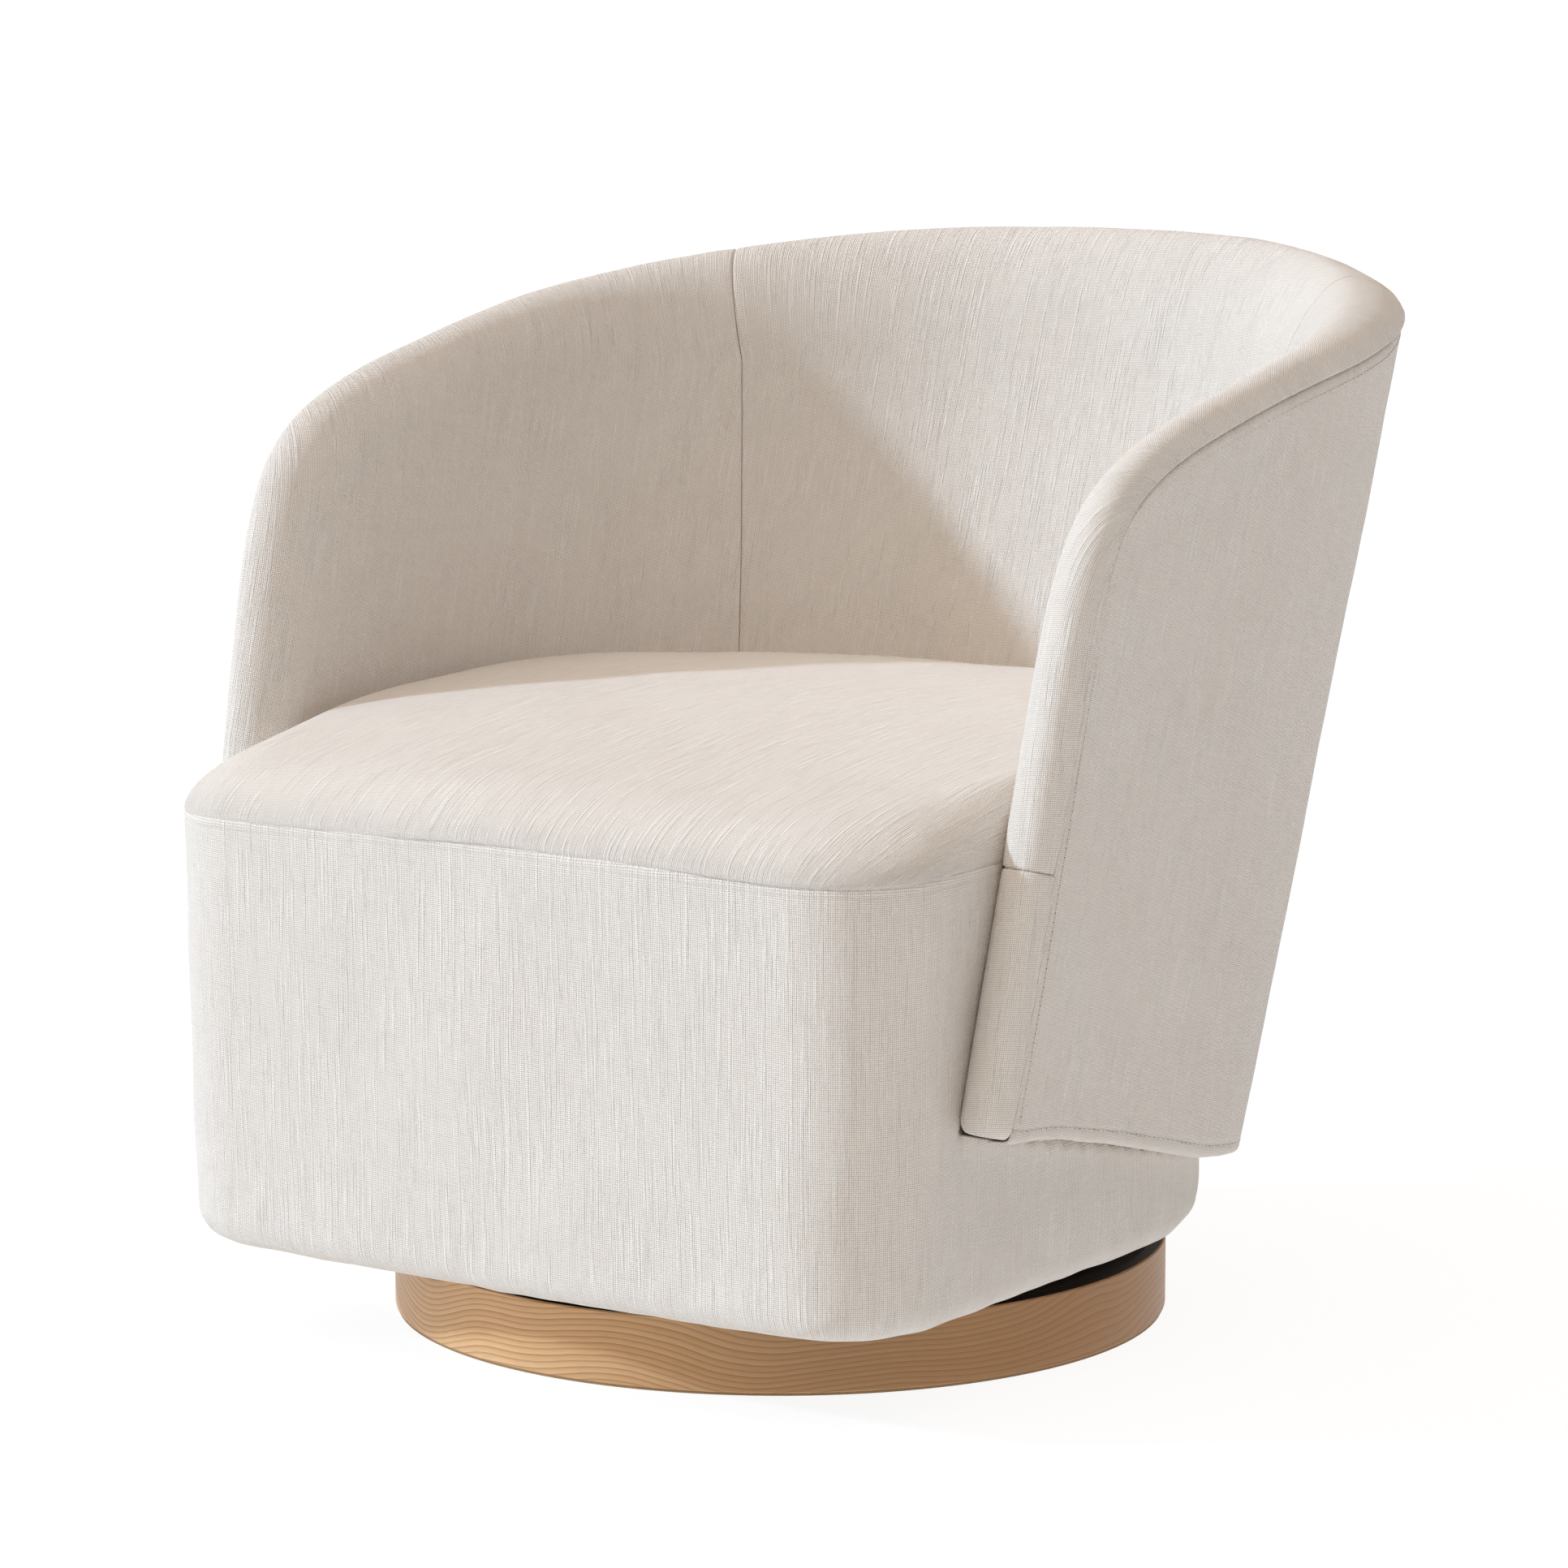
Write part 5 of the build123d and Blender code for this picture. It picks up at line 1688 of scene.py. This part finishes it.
    def build(self) -> None:
        """Makes the border, the top and the stitches under their seam."""
        border = self.border()
        covers = ("seat_border_cover", "seat_border_padding", "seat_rear_cloth")
        foams = ("seat_top_cover", "seat_foam", "seat_foam_base")
        for name, sheet, nodes, fill in (
            ("seat_border", border, covers, self.border_fill),
            ("seat_cushion", self.top(), foams, self.top_fill),
        ):
            maker = MeshMaker(name)
            maker.add_grid(sheet, closed=True)
            piece = maker.build([Finish.WEAVE.material()], self.barrel.cloth_thick)
            place(piece, Finish.WEAVE, nodes)
        row = self.stitch_row - len(self.seam_rows)
        line, face = (np.concatenate([v[row], v[row, :1]]) for v in (border.points, border.outward))
        Stitching().build("seat_topstitching", [(line + face * 0.05, face)])


# ---- Parts kept from the CAD --------------------------------------------------------------------
class KeptParts:
    """CAD nodes whose shape is right, each given the finish of its slot in the record."""

    FINISHES: dict[str, Finish] = {
        "plinth_wood": Finish.OAK, "deck_paint": Finish.DECK, "frame_wood": Finish.FRAME,
        "panel_board": Finish.BOARD, "felt": Finish.FELT, "glide_nylon": Finish.NYLON,
        "cage_plastic": Finish.CAGE, "swivel_steel": Finish.PLATE, "fastener_steel": Finish.ZINC,
        "ball_steel": Finish.BALL, "webbing": Finish.WEBBING, "dust_cloth": Finish.DUST,
        "lining": Finish.LINING, "foam": Finish.LINING, "upholstery": Finish.WEAVE,
    }

    def dress(self) -> None:
        """Gives every node its finish; the soft ones among them are hidden later on."""
        for row in frame["record"]["subparts"]:
            finish = self.FINISHES[row["material_slot"]]
            node = frame["nodes"][row["node"]]
            node.data.materials.clear()
            node.data.materials.append(finish.material())
            log.info("%s kept, finish %s", row["node"], finish.value.name)


# ---- Studio -------------------------------------------------------------------------------------
def towards(azimuth: float, elevation: float) -> Triple:
    """Gives a direction from the chair.

    Args:
        azimuth: degrees round the chair from its front, with +X positive.
        elevation: degrees up.

    Returns:
        The direction, one long.
    """
    a, e = radians(azimuth), radians(elevation)
    return sin(a) * cos(e), -cos(a) * cos(e), sin(e)


def add_to_scene(name: str, data: bpy.types.ID) -> bpy.types.Object:
    """Makes an object of a mesh, light or camera.

    Args:
        name: the object's name.
        data: what it shows.

    Returns:
        The object, at the origin.
    """
    made = bpy.data.objects.new(name, data)
    bpy.context.scene.collection.objects.link(made)
    return made


def look_from(item: bpy.types.Object, azimuth: float, elevation: float) -> None:
    """Turns a camera or a light so that it looks back along a direction from the chair."""
    away = -Vector(towards(azimuth, elevation))
    item.rotation_euler = away.to_track_quat("-Z", "Y").to_euler()


@dataclass(frozen=True)
class SoftLight:
    """A wide soft patch of the surround; the higher its power, the narrower it is."""

    azimuth: float
    elevation: float
    power: float
    colour: Triple


@dataclass(frozen=True)
class Studio:
    """White floor, soft light and a camera where the photographer's stood.

    Lengths are in metres here, apart from the lens and the sensor in mm, and angles in degrees.
    """

    distance: float = 4.35
    azimuth: float = 34.513
    elevation: float = 9.681
    target_z: float = 0.3383
    lens: float = 133.8
    sensor: float = 36.0
    # How far the camera looks above and aside of the point that it stands opposite to.
    pitch: float = 0.700
    yaw: float = -0.037
    # The floor reaches so far that its end stays out of the picture.
    floor_half: float = 160.0
    floor_paint: str = "#6b6b6b"
    floor_glow: float = 0.90
    key_azimuth: float = -52.0
    key_elevation: float = 28.0
    key_angle: float = 4.0
    key_energy: float = 2.3
    key_colour: Triple = (0.62, 0.80, 1.0)
    sky: tuple[SoftLight, SoftLight] = (
        SoftLight(0.0, 90.0, 1.6, (1.21, 1.08, 0.98)),
        SoftLight(-52.0, 40.0, 3.0, (0.60, 0.49, 0.35)),
    )

    def camera(self) -> None:
        """Makes the camera."""
        data = bpy.data.cameras.new("camera")
        data.lens, data.sensor_width = self.lens, self.sensor
        camera = add_to_scene("camera", data)
        stand = Vector(towards(self.azimuth, self.elevation)) * self.distance
        camera.location = Vector((0, 0, self.target_z)) + stand
        look_from(camera, self.azimuth + self.yaw, self.elevation - self.pitch)
        bpy.context.scene.camera = camera

    def floor(self) -> None:
        """Makes a wide white floor that glows, so that it shows hardly any shadow."""
        mesh = bpy.data.meshes.new("studio_floor")
        signs = ((-1, -1), (1, -1), (1, 1), (-1, 1))
        corners = [(x * self.floor_half, y * self.floor_half, 0) for x, y in signs]
        mesh.from_pydata(corners, [], [(0, 1, 2, 3)])
        mesh.materials.append(Tree(bpy.data.materials.new("white_studio_paint")).surface(
            Base_Color=linear(self.floor_paint), Roughness=0.9, Specular_IOR_Level=0.0,
            Emission_Color=linear("#ffffff"), Emission_Strength=self.floor_glow,
        ))
        add_to_scene("studio_floor", mesh)

    def key_light(self) -> None:
        """Makes a low cool light from the left."""
        sun = bpy.data.lights.new("key_light", "SUN")
        sun.energy, sun.color, sun.angle = self.key_energy, self.key_colour, radians(self.key_angle)
        look_from(add_to_scene("key_light", sun), self.key_azimuth, self.key_elevation)

    def surround(self) -> None:
        """Makes a warm surround that is brightest overhead."""
        world = bpy.data.worlds.new("studio")
        tree = Tree(world)
        place_on_sky = tree.node("TexCoord").outputs["Generated"]
        patches = []
        for light in self.sky:
            facing = tree.node("VectorMath", {"operation": "DOT_PRODUCT"}, _0=place_on_sky,
                               _1=towards(light.azimuth, light.elevation)).outputs["Value"]
            lit = tree.node("Math", {"operation": "MAXIMUM"}, _0=facing, _1=0.0)
            strength = tree.node("Math", POWER, _0=lit, _1=light.power)
            patches.append(tree.node("Background", Color=(*light.colour, 1.0), Strength=strength))
        both = tree.node("AddShader", _0=patches[0], _1=patches[1])
        tree.join(tree.nodes["World Output"], Surface=both)
        tree.nodes.remove(tree.nodes["Background"])
        bpy.context.scene.world = world
        bpy.context.scene.view_settings.view_transform = "Standard"

    def build(self) -> None:
        """Makes the whole studio."""
        self.camera()
        self.floor()
        self.key_light()
        self.surround()
        log.info("studio built")


def main() -> None:
    """Builds the chair's looks round its frame."""
    logging.basicConfig(level=logging.INFO, format="%(message)s", stream=sys.stdout)
    Studio().build()
    KeptParts().dress()
    barrel = Barrel()
    barrel.build()
    Seat(barrel).build()


if __name__ == "__main__":
    main()
